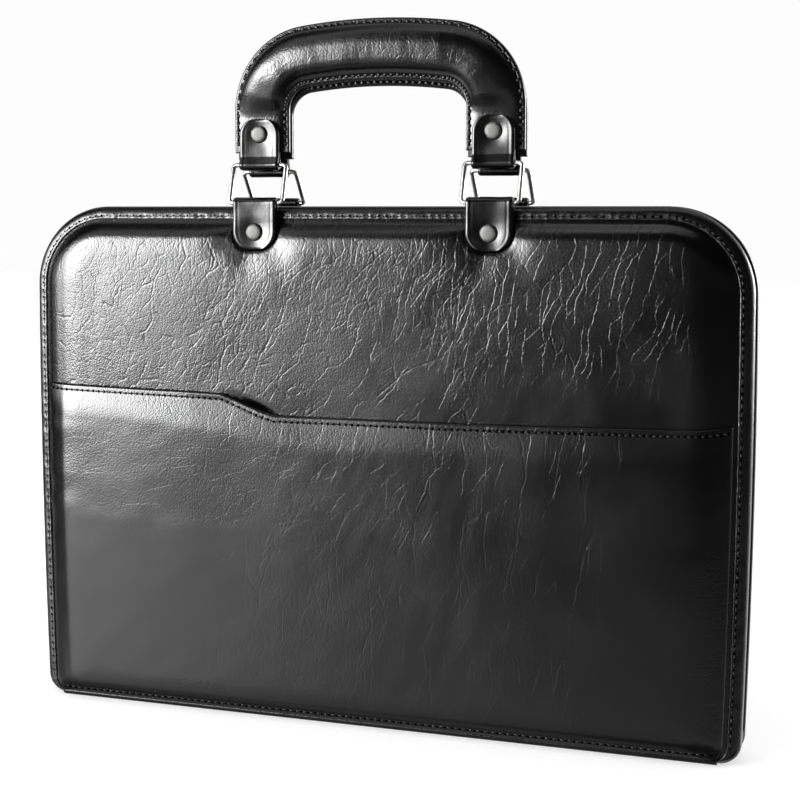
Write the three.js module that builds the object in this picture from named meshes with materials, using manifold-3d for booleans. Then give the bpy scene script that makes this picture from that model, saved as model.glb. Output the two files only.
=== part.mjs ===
// Slim laptop briefcase in padded black leather, zipped round three sides, with twin stitched handles.
// Millimetres. X runs along the width, Y from front to back, Z up. The origin is the middle of the base.
// A depth is a distance from the middle plane of the case out towards the front or the back.
import * as THREE from "three";
import { mergeVertices } from "three/addons/utils/BufferGeometryUtils.js";
import Module from "manifold-3d";

const wasm = await Module();
wasm.setup();

// Driving dimensions of the case
const CASE_WIDTH = 390;
const CASE_HEIGHT = 276;
const TOP_CORNER = 43;
const BOTTOM_CORNER = 11;
const SIDE_BOW = 1.6;
const GAP = 0.3;
const PANEL_WALL = 3;
const BORDER = 8.6;

// The padded panel from its edge to its middle: how far in, and how far out its face stands.
const PAD_ROWS = [
  { inset: 2, face: 10.2 },
  { inset: BORDER, face: 13 },
  { inset: 14, face: 15.8 },
  { inset: 20, face: 17.4 },
  { inset: 30, face: 18.5 },
  { inset: 48, face: 19.1 },
  { inset: 95, face: 19.5 },
];

// The binding strip, from its sewn edge on the panel round to its edge beside the zip.
const BINDING_ROWS = [
  { outerInset: 7.9, outerDepth: 14.9, innerInset: 8.5, innerDepth: 13.5 },
  { outerInset: 1.4, outerDepth: 12.2, innerInset: 1.75, innerDepth: 10.65 },
  { outerInset: 0.2, outerDepth: 10.8, innerInset: 1.6, innerDepth: 9 },
  { outerInset: 0, outerDepth: 5.6, innerInset: 1.6, innerDepth: 5.6 },
];

// The zip lies between the bindings, a little below their edges.
const TAPE = { outerInset: 1.9, innerInset: 3.1, nearDepth: 2.3, farDepth: 6.9 };
const CHAIN = { outerInset: 1.3, innerInset: 3.7, halfDepth: 2 };
const ZIP_END = 14.3;
const SLIDER_TOP = 24;

// The slider's boxes, from the case's edge inwards: plate, core, lug and pull.
const SLIDER_ROWS = [
  { near: -1.2, far: 1.4, halfDepth: 4.2, from: ZIP_END + GAP, to: SLIDER_TOP },
  { near: 1.2, far: 4, halfDepth: 1.9, from: ZIP_END + GAP, to: SLIDER_TOP },
  { near: -2.6, far: -1, halfDepth: 1.2, from: 18, to: 22 },
  { near: -2.8, far: -1.7, halfDepth: 2.6, from: 2.5, to: 21 },
];

// The base strip and the tongues that close its ends under the zip.
const BASE = {
  thick: 1.7,
  flat: 11.8,
  lipDepth: 14.2,
  lipHeight: 3.2,
  lipSlope: 0.6,
  lipStart: 1.2,
  lipFoot: 0.5,
};
const TONGUE = { outerInset: 0.6, innerInset: 2.2, halfDepth: 5.3, overlap: 6 };

// The front pocket: its hem along the width, and how far it stands off the panel from hem to bottom.
const POCKET_WALL = 1.4;
const POCKET_SIDE = 8.9;
const POCKET_BOTTOM = 3.6;
const POCKET_CORNER = { width: 2.6, rise: 6 };
const POCKET_CLEAR = 0.85;
const POCKET_FULL = 24;
const HEM_ROWS = [
  { x: -186.1, height: 179.4 },
  { x: -77.5, height: 177.1 },
  { x: -49, height: 166.7 },
  { x: 147, height: 168 },
  { x: 186.1, height: 170.4 },
];
const HEM_WALL = 2.6;
const POCKET_COLUMNS = [-147, -116, -20, 40, 95];
const BELLY_LOW = 78;
const BELLY_ROWS = [
  { drop: 0, air: 1.3, wall: HEM_WALL },
  { drop: 8, air: 1.9, wall: HEM_WALL },
  { drop: 9.5, air: 2, wall: POCKET_WALL },
  { drop: 26, air: 3, wall: POCKET_WALL },
  { drop: 56, air: 3.6, wall: POCKET_WALL },
  { height: BELLY_LOW, air: 2.9, wall: POCKET_WALL },
  { height: 43, air: 1.5, wall: POCKET_WALL },
  { height: 25, air: 0.7, wall: POCKET_WALL },
  { height: 15, air: 0.3, wall: POCKET_WALL },
  { height: 9, air: 0.1, wall: POCKET_WALL },
  { height: POCKET_BOTTOM, air: 0, wall: POCKET_WALL },
];

// Handle straps, rings and rivets. The lower loops have their place in the case. A grip is a handle with
// its upper straps, in a frame of its own: depths from the plane where the two handles meet, heights from
// its rings. That plane lies in front of the middle, so the back rings lean in more and the back grip is
// lower. Both handles sit a little to the right of the middle.
const STRAP_X = 63.4;
const HANDLE_ASIDE = 2.2;
const LOWER_LOOP = { depth: 15.6, height: 277.7 };
const UPPER_LOOP = { depth: 6.4, height: 0 };
const HANDLES_MEET = 3.2;
const RING_SPAN = 20.7;
const WIRE = 1.2;
const RING_WIDTH = 29.8;
const RING_BEND = 2;
const LOOP_BORE = WIRE + GAP;
const LOOP_OUTSIDE = 2.9;
const LOWER_TAB = {
  loop: LOWER_LOOP,
  width: 24,
  corner: 9,
  rivet: 262.5,
  rows: [
    { height: 267.4, back: 15.3, front: 18.5 },
    { height: 253.5, back: 15.7, front: 18.9 },
  ],
};
const UPPER_TAB = {
  loop: UPPER_LOOP,
  width: 22,
  corner: 8,
  rivet: 15.9,
  rows: [
    { height: 4.4, back: 4.8, front: 8 },
    { height: 23.9, back: 4.8, front: 8 },
  ],
};
const TAB_PRESS = 16;
const SHANK = 1.8;
const SHANK_HOLE = 2.2;
const CAP_RADIUS = 4.5;
const CAP_HEIGHT = 1.7;
const LOWER_RIVET = { seat: 18.95, end: 9.8, tail: 10.8, tailRadius: 2.6 };
const UPPER_RIVET = { seat: 8.3, end: 1.2, tail: 1.5, tailRadius: SHANK };

// Handles: a leg at each side, a corner bend, and a gently crowned top.
const HANDLE_BACK = 0.4;
const HANDLE_HALF_WIDTH = 15.4;
const HANDLE_EDGE = 3.6;
const HANDLE_FOOT = 6.4;
const HANDLE_TOP = 73.9;
const HANDLE_BEND = 28;
const HANDLE_CROWN_RADIUS = 300;
const LEG_STATIONS = [0, 4, 11, 17.5];
const CROWN_ROWS = [
  { along: 0, crown: 3.6 },
  { along: 4, crown: 4.5 },
  { along: 19, crown: 4.5 },
  { along: 40, crown: 11 },
  { along: 75, crown: 11.8 },
];
const SECTION_ROWS = [
  { across: -1, lift: 0 },
  { across: -0.76, lift: 0.1 },
  { across: -0.52, lift: 0.7 },
  { across: -0.24, lift: 0.95 },
  { across: 0, lift: 1 },
  { across: 0.24, lift: 0.95 },
  { across: 0.52, lift: 0.7 },
  { across: 0.76, lift: 0.1 },
  { across: 1, lift: 0 },
];

const LEATHER = { color: 0x151517, roughness: 0.36, metalness: 0 };
const NICKEL = { color: 0xcfcfca, roughness: 0.25, metalness: 1 };
const TAPE_CLOTH = { color: 0x0d0d0e, roughness: 0.85, metalness: 0 };
const CHAIN_NYLON = { color: 0x111112, roughness: 0.5, metalness: 0 };

const HALF_WIDTH = CASE_WIDTH / 2;
const LEAST_CORNER = 0.5;
const ROUND_SIDES = 10;

// Straight-line reading of a table: value of one column at a place along another.
function read(rows, from, to, place) {
  const next = rows.findIndex((row) => row[from] >= place);
  if (next <= 0) return next === 0 ? rows[0][to] : rows.at(-1)[to];
  const low = rows[next - 1];
  const high = rows[next];
  const share = (place - low[from]) / (high[from] - low[from]);
  return THREE.MathUtils.lerp(low[to], high[to], share);
}

// A closed body from points and triangles, turned so that its faces point out.
function body(points, faces) {
  const volume = faces.reduce(
    (sum, [a, b, c]) => sum + points[a].dot(points[b].clone().cross(points[c])),
    0,
  );
  const outward = volume < 0 ? faces.map(([a, b, c]) => [a, c, b]) : faces;
  return new THREE.BufferGeometry().setFromPoints(points).setIndex(outward.flat());
}

// Triangles that close a loop: a fan round a middle point, or a ladder between the two sides of a band.
function fan(first, count, middle) {
  return Array.from({ length: count }, (_, j) => [first + j, first + ((j + 1) % count), middle]);
}

function ladder(first, count) {
  return Array.from({ length: count / 2 - 1 }, (_, j) => [
    [first + j, first + j + 1, first + count - 2 - j],
    [first + j, first + count - 2 - j, first + count - 1 - j],
  ]).flat();
}

// A body through loops whose points match one to one. Ends are "fan", "ladder" or "round".
function loft(loops, ends) {
  const count = loops[0].length;
  const points = loops.flat();
  const spans = ends === "round" ? loops.length : loops.length - 1;
  const faces = [];
  for (let i = 0; i < spans; i += 1) {
    const here = i * count;
    const next = ((i + 1) % loops.length) * count;
    for (let j = 0; j < count; j += 1) {
      const k = (j + 1) % count;
      faces.push([here + j, here + k, next + k], [here + j, next + k, next + j]);
    }
  }
  if (ends === "round") return body(points, faces);
  const final = (loops.length - 1) * count;
  const close = (first) => {
    if (ends === "ladder") return ladder(first, count);
    const loop = points.slice(first, first + count);
    const middle = loop.reduce((sum, p) => sum.add(p), new THREE.Vector3()).divideScalar(count);
    points.push(middle);
    return fan(first, count, points.length - 1);
  };
  faces.push(...close(0).map(([a, b, c]) => [a, c, b]), ...close(final));
  return body(points, faces);
}

// Boolean joins and cuts between closed geometries.
function toSolid(geometry) {
  const bare = new THREE.BufferGeometry().setAttribute("position", geometry.getAttribute("position"));
  const merged = mergeVertices(geometry.index ? bare.setIndex(geometry.index) : bare, 1e-4);
  return new wasm.Manifold(
    new wasm.Mesh({
      numProp: 3,
      vertProperties: new Float32Array(merged.getAttribute("position").array),
      triVerts: new Uint32Array(merged.index.array),
    }),
  );
}

function toGeometry(solid) {
  const { vertProperties, triVerts } = solid.getMesh();
  return new THREE.BufferGeometry()
    .setAttribute("position", new THREE.BufferAttribute(vertProperties, 3))
    .setIndex(new THREE.BufferAttribute(triVerts, 1));
}

function join(...shapes) {
  return toGeometry(shapes.map(toSolid).reduce((sum, next) => sum.add(next)));
}

function cut(shape, ...tools) {
  return toGeometry(tools.map(toSolid).reduce((rest, tool) => rest.subtract(tool), toSolid(shape)));
}

// A round cutter that runs from front to back through one rivet's place.
function rivetCutter(x, height) {
  const length = 2 * BASE.flat + 4 * PANEL_WALL;
  const cutter = new THREE.CylinderGeometry(SHANK_HOLE, SHANK_HOLE, length, ROUND_SIDES);
  return cutter.translate(x, -length / 2, height);
}

// A point of the front half of the case. Its sides bow out a little at mid height.
function casePoint(x, depth, z) {
  const middle = CASE_HEIGHT / 2;
  const bow = SIDE_BOW * (1 - ((z - middle) / middle) ** 2);
  return new THREE.Vector3(x * (1 + bow / HALF_WIDTH), -depth, z);
}

// The case stands fuller at its bottom edge, where the border is narrower than at the sides.
function bottomInset(inset) {
  const edge = PAD_ROWS[0].inset;
  const narrow = 0.25;
  const inBorder = Math.min(Math.max(inset - edge, 0), BORDER - edge);
  return Math.min(inset, edge) + inBorder * narrow + Math.max(inset - BORDER, 0);
}

// The four corners, anticlockwise from the lower right, and the stations along the run after each one.
const CORNERS = [
  { side: 1, top: false, start: -90, steps: 3 },
  { side: 1, top: true, start: 0, steps: 6 },
  { side: -1, top: true, start: 90, steps: 6 },
  { side: -1, top: false, start: 180, steps: 3 },
];
const SIDE_HEIGHTS = [ZIP_END, SLIDER_TOP + GAP, 66, 120, 180];
const STRAP_OFFSETS = [-26, -13, 0, 13, 26];
const TOP_STATIONS = [
  121,
  ...STRAP_OFFSETS.map((offset) => STRAP_X - offset),
  0,
  ...STRAP_OFFSETS.map((offset) => -STRAP_X - offset),
  -121,
];

function shares(places, start, end) {
  return places.map((place) => (place - start) / (end - start));
}

const SIDE_SHARES = shares(SIDE_HEIGHTS, BOTTOM_CORNER, CASE_HEIGHT - TOP_CORNER);
const TOP_STRAIGHT = HALF_WIDTH - TOP_CORNER;
const BOTTOM_STEPS = 7;
const RUN_SHARES = [
  SIDE_SHARES,
  shares(TOP_STATIONS, TOP_STRAIGHT, -TOP_STRAIGHT),
  SIDE_SHARES.map((share) => 1 - share).reverse(),
  Array.from({ length: BOTTOM_STEPS - 1 }, (_, i) => (i + 1) / BOTTOM_STEPS),
];

function cornerArc({ side, top, start, steps }, inset) {
  const corner = top ? TOP_CORNER : BOTTOM_CORNER;
  const rise = top ? inset : bottomInset(inset);
  const radiusX = Math.max(corner - inset, LEAST_CORNER);
  const radiusZ = Math.max(corner - rise, LEAST_CORNER);
  const x = side * (HALF_WIDTH - inset - radiusX);
  const z = top ? CASE_HEIGHT - rise - radiusZ : rise + radiusZ;
  return Array.from({ length: steps + 1 }, (_, i) => {
    const angle = THREE.MathUtils.degToRad(start + (90 * i) / steps);
    return new THREE.Vector2(x + radiusX * Math.cos(angle), z + radiusZ * Math.sin(angle));
  });
}

// The case's outline moved in by an inset. Loops of any inset have matching stations.
function outline(inset) {
  return CORNERS.flatMap((corner, i) => {
    const arc = cornerArc(corner, inset);
    const next = cornerArc(CORNERS[(i + 1) % CORNERS.length], inset)[0];
    return [...arc, ...RUN_SHARES[i].map((share) => arc.at(-1).clone().lerp(next, share))];
  });
}

// Stations of the rim, from the lower right corner round the top to the lower left one.
const RIM_COUNT = outline(0).length - RUN_SHARES.at(-1).length;
const ZIP_FIRST = CORNERS[0].steps + 1;
const ZIP_LAST = RIM_COUNT - ZIP_FIRST;

// A strip round the rim. Each row pairs a point of its outer side with one of its inner side.
function rimStrip(rows, first, end) {
  const outer = rows.map((row) => outline(row.outerInset));
  const inner = rows.map((row) => outline(row.innerInset));
  const sections = [];
  for (let i = first; i < end; i += 1) {
    const outside = rows.map((row, k) => casePoint(outer[k][i].x, row.outerDepth, outer[k][i].y));
    const inside = rows.map((row, k) => casePoint(inner[k][i].x, row.innerDepth, inner[k][i].y));
    sections.push([...outside, ...inside.reverse()]);
  }
  return loft(sections, "ladder");
}

// A strip of even thickness between two depths.
function flatStrip({ outerInset, innerInset }, nearDepth, farDepth, first, end) {
  const row = (depth) => ({ outerInset, outerDepth: depth, innerInset, innerDepth: depth });
  return rimStrip([row(farDepth), row(nearDepth)], first, end);
}

// How far the strap's lower tab presses the padding in, from full under the tab to none some way off.
function pressedBy(x, z, face, straps) {
  const { rows, width } = LOWER_TAB;
  const [top, end] = rows;
  const share = (top.height - z) / (top.height - end.height);
  const seat = THREE.MathUtils.lerp(top.back, end.back, THREE.MathUtils.clamp(share, 0, 1)) - GAP;
  const away = Math.min(...straps.map((strap) => Math.abs(x - strap)));
  const aside = Math.max(away - width / 2 - 1, 0);
  const below = Math.max(end.height - z, 0);
  const fade = 1 - THREE.MathUtils.smoothstep(Math.hypot(aside, below), 0, TAB_PRESS);
  return Math.max(face - seat, 0) * fade;
}

function panel(straps) {
  const loops = PAD_ROWS.map(({ inset, face }) =>
    outline(inset).map(({ x, y: z }) => ({ x, z, face: face - pressedBy(x, z, face, straps) })),
  );
  const outer = loops.map((loop) => loop.map(({ x, z, face }) => casePoint(x, face, z)));
  const inner = loops.map((loop) => loop.map(({ x, z, face }) => casePoint(x, face - PANEL_WALL, z)));
  const padded = loft([...outer.reverse(), ...inner], "fan");
  return cut(padded, ...straps.map((x) => rivetCutter(x, LOWER_TAB.rivet)));
}

function binding() {
  return rimStrip(BINDING_ROWS, 0, RIM_COUNT);
}

function zipTape() {
  return flatStrip(TAPE, TAPE.nearDepth, TAPE.farDepth, ZIP_FIRST, ZIP_LAST);
}

// The chain ends above the slider on the left side.
function zipChain() {
  return flatStrip(CHAIN, -CHAIN.halfDepth, CHAIN.halfDepth, ZIP_FIRST, ZIP_LAST - 1);
}

// Slider: a plate outside the tapes, a core between them, and a pull that hangs from a lug.
function zipSlider() {
  const edge = casePoint(-HALF_WIDTH, 0, (ZIP_END + SLIDER_TOP) / 2).x;
  return join(
    ...SLIDER_ROWS.map(({ near, far, halfDepth, from, to }) =>
      new THREE.BoxGeometry(far - near, 2 * halfDepth, to - from).translate(
        edge + (near + far) / 2,
        0,
        (from + to) / 2,
      ),
    ),
  );
}

// One tongue of the base: along the bottom, round the lower corner and up to the end of the zip.
function tongue(corner) {
  const runs = [TONGUE.outerInset, TONGUE.innerInset].map((inset) => {
    const arc = cornerArc(corner, inset);
    const up = corner.side > 0 ? arc : arc.toReversed();
    const inwards = up[0].clone().setX(up[0].x - corner.side * TONGUE.overlap);
    return [inwards, ...up, up.at(-1).clone().setY(ZIP_END - GAP)];
  });
  const sections = runs[0].map((outside, i) => {
    const inside = runs[1][i];
    return [
      casePoint(outside.x, TONGUE.halfDepth, outside.y),
      casePoint(outside.x, -TONGUE.halfDepth, outside.y),
      casePoint(inside.x, -TONGUE.halfDepth, inside.y),
      casePoint(inside.x, TONGUE.halfDepth, inside.y),
    ];
  });
  return loft(sections, "ladder");
}

// Base strip: a flat floor with a low lip along the front and the back panel.
function base() {
  const { thick, flat, lipDepth, lipHeight, lipSlope, lipStart } = BASE;
  const lipFoot = PAD_ROWS[0].face + BASE.lipFoot;
  const lipInside = PAD_ROWS[1].face + GAP;
  const half = [
    [flat, 0],
    [lipDepth - lipSlope, lipStart],
    [lipDepth, lipHeight],
    [lipInside, lipHeight],
    [lipFoot, thick],
  ];
  const mirrored = half.map(([depth, z]) => [-depth, z]).reverse();
  const section = new THREE.Shape([...half, ...mirrored].map(([depth, z]) => new THREE.Vector2(depth, z)));
  const length = 2 * (HALF_WIDTH - BOTTOM_CORNER - GAP);
  const along = new THREE.Matrix4().makeBasis(
    new THREE.Vector3(0, 1, 0),
    new THREE.Vector3(0, 0, 1),
    new THREE.Vector3(1, 0, 0),
  );
  const strip = new THREE.ExtrudeGeometry(section, { depth: length, bevelEnabled: false });
  strip.translate(0, 0, -length / 2).applyMatrix4(along);
  const tongues = CORNERS.filter(({ top }) => !top).map(tongue);
  return join(strip, ...tongues);
}

// The front face of the panel at a place below its top corners.
function panelFace(x, z) {
  const sideways = HALF_WIDTH - Math.abs(x);
  const byHeight = PAD_ROWS.map(({ inset, face }) => ({ height: bottomInset(inset), face }));
  return Math.min(read(PAD_ROWS, "inset", "face", sideways), read(byHeight, "height", "face", z));
}

// Front pocket: one sheet that bellies out below its hem and lies flat where it is sewn.
// Its columns and lower rows follow the rows of the padding, so that it clears the panel's facets.
function pocket() {
  const sewn = HALF_WIDTH - POCKET_SIDE;
  const corner = sewn - POCKET_CORNER.width;
  const shoulders = PAD_ROWS.slice(2, -2).map(({ inset }) => HALF_WIDTH - inset);
  const sides = [corner, ...shoulders].flatMap((x) => [-x, x]);
  const columns = [...HEM_ROWS.map(({ x }) => x), ...POCKET_COLUMNS, ...sides].sort((a, b) => a - b);
  const sections = columns.map((x) => {
    const hem = read(HEM_ROWS, "x", "height", x);
    const lift = Math.max(Math.abs(x) - corner, 0) * (POCKET_CORNER.rise / POCKET_CORNER.width);
    const fullness = THREE.MathUtils.smoothstep(sewn - Math.abs(x), 0, POCKET_FULL);
    const rows = BELLY_ROWS.map(({ drop, height, air, wall }) => {
      const z = height === undefined ? hem - drop : height + lift * (1 - height / BELLY_LOW);
      const outer = panelFace(x, z) + POCKET_CLEAR + POCKET_WALL + air * fullness;
      return { z, outer, inner: outer - THREE.MathUtils.lerp(POCKET_WALL, wall, fullness) };
    });
    const front = rows.map(({ z, outer }) => casePoint(x, outer, z));
    const back = rows.map(({ z, inner }) => casePoint(x, inner, z));
    return [...front, ...back.reverse()];
  });
  return loft(sections, "ladder");
}

// A doubled strap: a loop with a bore for the ring's bar, and a tail with a rounded end.
function tab({ loop, width, corner, rivet, rows }) {
  const [near, far] = rows;
  const above = loop.height > near.height;
  const [first, second] = above ? ["front", "back"] : ["back", "front"];
  const turn = above ? 0 : Math.PI;
  const side = new THREE.Shape();
  side.moveTo(far[first], far.height);
  side.lineTo(near[first], near.height);
  side.absarc(loop.depth, loop.height, LOOP_OUTSIDE, turn, turn + Math.PI);
  side.lineTo(near[second], near.height);
  side.lineTo(far[second], far.height);
  side.closePath();
  side.holes.push(new THREE.Path().absarc(loop.depth, loop.height, LOOP_BORE, 0, 2 * Math.PI));
  const across = new THREE.Matrix4().makeBasis(
    new THREE.Vector3(0, -1, 0),
    new THREE.Vector3(0, 0, 1),
    new THREE.Vector3(-1, 0, 0),
  );
  const strap = new THREE.ExtrudeGeometry(side, { depth: width, bevelEnabled: false, curveSegments: 5 });
  strap.translate(0, 0, -width / 2).applyMatrix4(across);
  const face = roundedEnd(width, corner, loop.height, far.height);
  const trimmed = toGeometry(toSolid(strap).intersect(toSolid(face)));
  return cut(trimmed, rivetCutter(0, rivet));
}

// The strap's outline seen from the front, run right through the case's depth.
function roundedEnd(width, corner, loopHeight, endHeight) {
  const way = Math.sign(endHeight - loopHeight);
  const start = loopHeight - way * 2 * LOOP_OUTSIDE;
  const half = width / 2;
  const bend = endHeight - way * corner;
  const outlineShape = new THREE.Shape();
  outlineShape.moveTo(half, start);
  outlineShape.lineTo(half, bend);
  outlineShape.absarc(half - corner, bend, corner, 0, (way * Math.PI) / 2, way < 0);
  outlineShape.absarc(corner - half, bend, corner, (way * Math.PI) / 2, way * Math.PI, way < 0);
  outlineShape.lineTo(-half, start);
  outlineShape.closePath();
  const reach = 4 * CAP_RADIUS + 2 * LOOP_OUTSIDE;
  const through = new THREE.ExtrudeGeometry(outlineShape, {
    depth: reach,
    bevelEnabled: false,
    curveSegments: 3,
  });
  return through.rotateX(Math.PI / 2);
}

// A rivet: domed cap, shank, and a spread tail on the far side.
function rivet({ seat, end, tail, tailRadius }) {
  const profile = [
    [0, seat + CAP_HEIGHT],
    [0.5 * CAP_RADIUS, seat + 0.92 * CAP_HEIGHT],
    [0.84 * CAP_RADIUS, seat + 0.6 * CAP_HEIGHT],
    [CAP_RADIUS, seat],
    [SHANK, seat],
    [SHANK, tail],
    [tailRadius, tail],
    [tailRadius, end],
    [0, end],
  ];
  const points = profile
    .filter((point, i) => i === 0 || point.some((value, k) => value !== profile[i - 1][k]))
    .reverse()
    .map(([radius, depth]) => new THREE.Vector2(radius, depth));
  const turned = new THREE.LatheGeometry(points, ROUND_SIDES);
  return turned.rotateX(Math.PI);
}

// A ring: round wire bent to a rectangle, standing in the XZ plane about its own middle.
function ring(span) {
  const sideways = RING_WIDTH / 2 - RING_BEND;
  const upwards = span / 2 - RING_BEND;
  const bends = [
    { x: sideways, z: upwards, start: 0 },
    { x: -sideways, z: upwards, start: 90 },
    { x: -sideways, z: -upwards, start: 180 },
    { x: sideways, z: -upwards, start: 270 },
  ];
  const wireSides = 6;
  const sections = bends.flatMap(({ x, z, start }) =>
    [0, 30, 60, 90].map((turn) => {
      const angle = THREE.MathUtils.degToRad(start + turn);
      const out = new THREE.Vector3(Math.cos(angle), 0, Math.sin(angle));
      const middle = new THREE.Vector3(x, 0, z).addScaledVector(out, RING_BEND);
      return Array.from({ length: wireSides }, (_, k) => {
        const round = (2 * Math.PI * k) / wireSides;
        const offset = out.clone().multiplyScalar(WIRE * Math.cos(round));
        return offset.add(middle).setY(WIRE * Math.sin(round));
      });
    }),
  );
  return loft(sections, "round");
}

// The handle's middle line as stations: a place, the way out of the arch, and the length from the foot.
function handlePath() {
  const topLine = HANDLE_TOP - HANDLE_HALF_WIDTH;
  const crownCentre = topLine - HANDLE_CROWN_RADIUS;
  const bendX = STRAP_X - HANDLE_BEND;
  const reach = HANDLE_CROWN_RADIUS - HANDLE_BEND;
  const bendHeight = crownCentre + Math.sqrt(reach ** 2 - bendX ** 2);
  const lean = Math.asin(bendX / reach);
  const station = (x, z, angle) => ({ x, z, out: new THREE.Vector2(Math.cos(angle), Math.sin(angle)) });
  const leg = LEG_STATIONS.map((along) => station(STRAP_X, HANDLE_FOOT + along, 0));
  const bendTurn = Math.PI / 2 - lean;
  const bendSteps = 6;
  const bend = Array.from({ length: bendSteps + 1 }, (_, i) => {
    const angle = (bendTurn * i) / bendSteps;
    const x = bendX + HANDLE_BEND * Math.cos(angle);
    return station(x, bendHeight + HANDLE_BEND * Math.sin(angle), angle);
  });
  const crownSteps = 4;
  const crown = Array.from({ length: crownSteps - 1 }, (_, i) => {
    const angle = bendTurn + (lean * (i + 1)) / (crownSteps - 1);
    const x = HANDLE_CROWN_RADIUS * Math.cos(angle);
    return station(x, crownCentre + HANDLE_CROWN_RADIUS * Math.sin(angle), angle);
  });
  const right = [...leg, ...bend, ...crown];
  right.forEach((here, i) => {
    const last = right[i - 1];
    here.along = last ? last.along + Math.hypot(here.x - last.x, here.z - last.z) : 0;
  });
  const left = right.slice(0, -1).map(({ x, z, out, along }) => ({
    x: -x,
    z,
    along,
    out: new THREE.Vector2(-out.x, out.y),
  }));
  return [...right, ...left.reverse()];
}

// Handle: a padded face that flattens at its feet, thin sewn edges and a flat back.
function handle() {
  const sections = handlePath().map(({ x, z, out, along }) => {
    const crown = read(CROWN_ROWS, "along", "crown", along);
    const place = (across, depth) => {
      const reach = across * HANDLE_HALF_WIDTH;
      return new THREE.Vector3(x + out.x * reach, -depth, z + out.y * reach);
    };
    const face = SECTION_ROWS.map(({ across, lift }) =>
      place(across, THREE.MathUtils.lerp(HANDLE_EDGE, crown, lift)),
    );
    return [...face, place(1, HANDLE_BACK), place(-1, HANDLE_BACK)];
  });
  const padded = loft(sections, "fan");
  return cut(padded, ...[-STRAP_X, STRAP_X].map((x) => rivetCutter(x, UPPER_TAB.rivet)));
}

function mesh(name, geometry, finish) {
  const made = new THREE.Mesh(geometry, new THREE.MeshStandardMaterial(finish));
  made.name = name;
  return made;
}

// How the rings of one side stand: how far out they end, how far they lean in, and how far they rise.
function ringStand(turned) {
  const depth = UPPER_LOOP.depth + (turned ? -HANDLES_MEET : HANDLES_MEET);
  const leanIn = LOWER_LOOP.depth - depth;
  return { depth, leanIn, rise: Math.sqrt(RING_SPAN ** 2 - leanIn ** 2) };
}

// The lower strap, its rivet and the ring of one handle leg.
function legHardware(name, { leanIn, rise }) {
  const leg = new THREE.Group();
  const wire = mesh(`${name}_ring`, ring(RING_SPAN), NICKEL);
  wire.position.set(0, leanIn / 2 - LOWER_LOOP.depth, LOWER_LOOP.height + rise / 2);
  wire.rotation.x = -Math.atan2(leanIn, rise);
  const lowerRivet = mesh(`${name}_lower_rivet`, rivet(LOWER_RIVET), NICKEL);
  lowerRivet.position.z = LOWER_TAB.rivet;
  leg.add(mesh(`${name}_lower_tab`, tab(LOWER_TAB), LEATHER), lowerRivet, wire);
  return leg;
}

// A handle with the straps and rivets that hang it on its rings, in the grip's own frame.
function grip(name, legs) {
  const made = new THREE.Group();
  made.add(mesh(`${name}_handle`, handle(), LEATHER));
  legs.forEach((leg) => {
    const strap = mesh(`${leg.name}_upper_tab`, tab(UPPER_TAB), LEATHER);
    strap.position.x = leg.x;
    const upperRivet = mesh(`${leg.name}_upper_rivet`, rivet(UPPER_RIVET), NICKEL);
    upperRivet.position.set(leg.x, 0, UPPER_TAB.rivet);
    made.add(strap, upperRivet);
  });
  return made;
}

// One face of the case with its handle. The back one is the front one turned half round.
function caseSide(name, turned) {
  const side = new THREE.Group();
  side.rotation.z = turned ? Math.PI : 0;
  const legs = [-STRAP_X, STRAP_X].map((x) => ({
    x,
    name: `${name}_${(x < 0) === turned ? "right" : "left"}`,
  }));
  const stand = ringStand(turned);
  const aside = turned ? -HANDLE_ASIDE : HANDLE_ASIDE;
  const straps = legs.map(({ x }) => x + aside);
  const held = grip(name, legs);
  held.position.set(aside, UPPER_LOOP.depth - stand.depth, LOWER_LOOP.height + stand.rise);
  side.add(
    mesh(`${name}_panel`, panel(straps), LEATHER),
    mesh(`${name}_binding`, binding(), LEATHER),
    mesh(`${name}_zip_tape`, zipTape(), TAPE_CLOTH),
    held,
  );
  legs.forEach((leg, i) => {
    const hardware = legHardware(leg.name, stand);
    hardware.position.x = straps[i];
    side.add(hardware);
  });
  return side;
}

const briefcase = new THREE.Group();
briefcase.add(
  caseSide("front", false),
  caseSide("back", true),
  mesh("front_pocket", pocket(), LEATHER),
  mesh("base", base(), LEATHER),
  mesh("zip_chain", zipChain(), CHAIN_NYLON),
  mesh("zip_slider", zipSlider(), NICKEL),
);

export default briefcase;
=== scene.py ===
# %% [markdown]
# # A slim laptop briefcase in padded black leather
# The case is zipped round three sides, with a stepped slip pocket on its front and two padded handles on
# wire rings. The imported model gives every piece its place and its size. This lesson gives each piece its
# soft form, its seams and its finish, and then sets up a plain studio.

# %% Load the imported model
import math
from bisect import bisect_right

import bmesh
import bpy
from mathutils import Matrix, Vector, noise


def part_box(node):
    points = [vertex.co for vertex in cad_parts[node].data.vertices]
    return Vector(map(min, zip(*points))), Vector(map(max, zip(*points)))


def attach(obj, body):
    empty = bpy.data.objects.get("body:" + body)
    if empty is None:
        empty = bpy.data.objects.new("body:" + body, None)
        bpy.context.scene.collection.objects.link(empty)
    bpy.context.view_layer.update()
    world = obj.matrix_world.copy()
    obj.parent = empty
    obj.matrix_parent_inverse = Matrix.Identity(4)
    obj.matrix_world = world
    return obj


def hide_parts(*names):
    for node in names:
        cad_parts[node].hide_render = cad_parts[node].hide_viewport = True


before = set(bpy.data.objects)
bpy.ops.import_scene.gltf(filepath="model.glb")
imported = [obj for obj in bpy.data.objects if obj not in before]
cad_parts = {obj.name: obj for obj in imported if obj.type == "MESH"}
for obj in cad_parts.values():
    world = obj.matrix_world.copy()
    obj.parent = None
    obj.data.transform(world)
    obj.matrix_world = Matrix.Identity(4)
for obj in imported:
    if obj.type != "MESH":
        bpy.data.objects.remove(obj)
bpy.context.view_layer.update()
MM = 0.001

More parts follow.
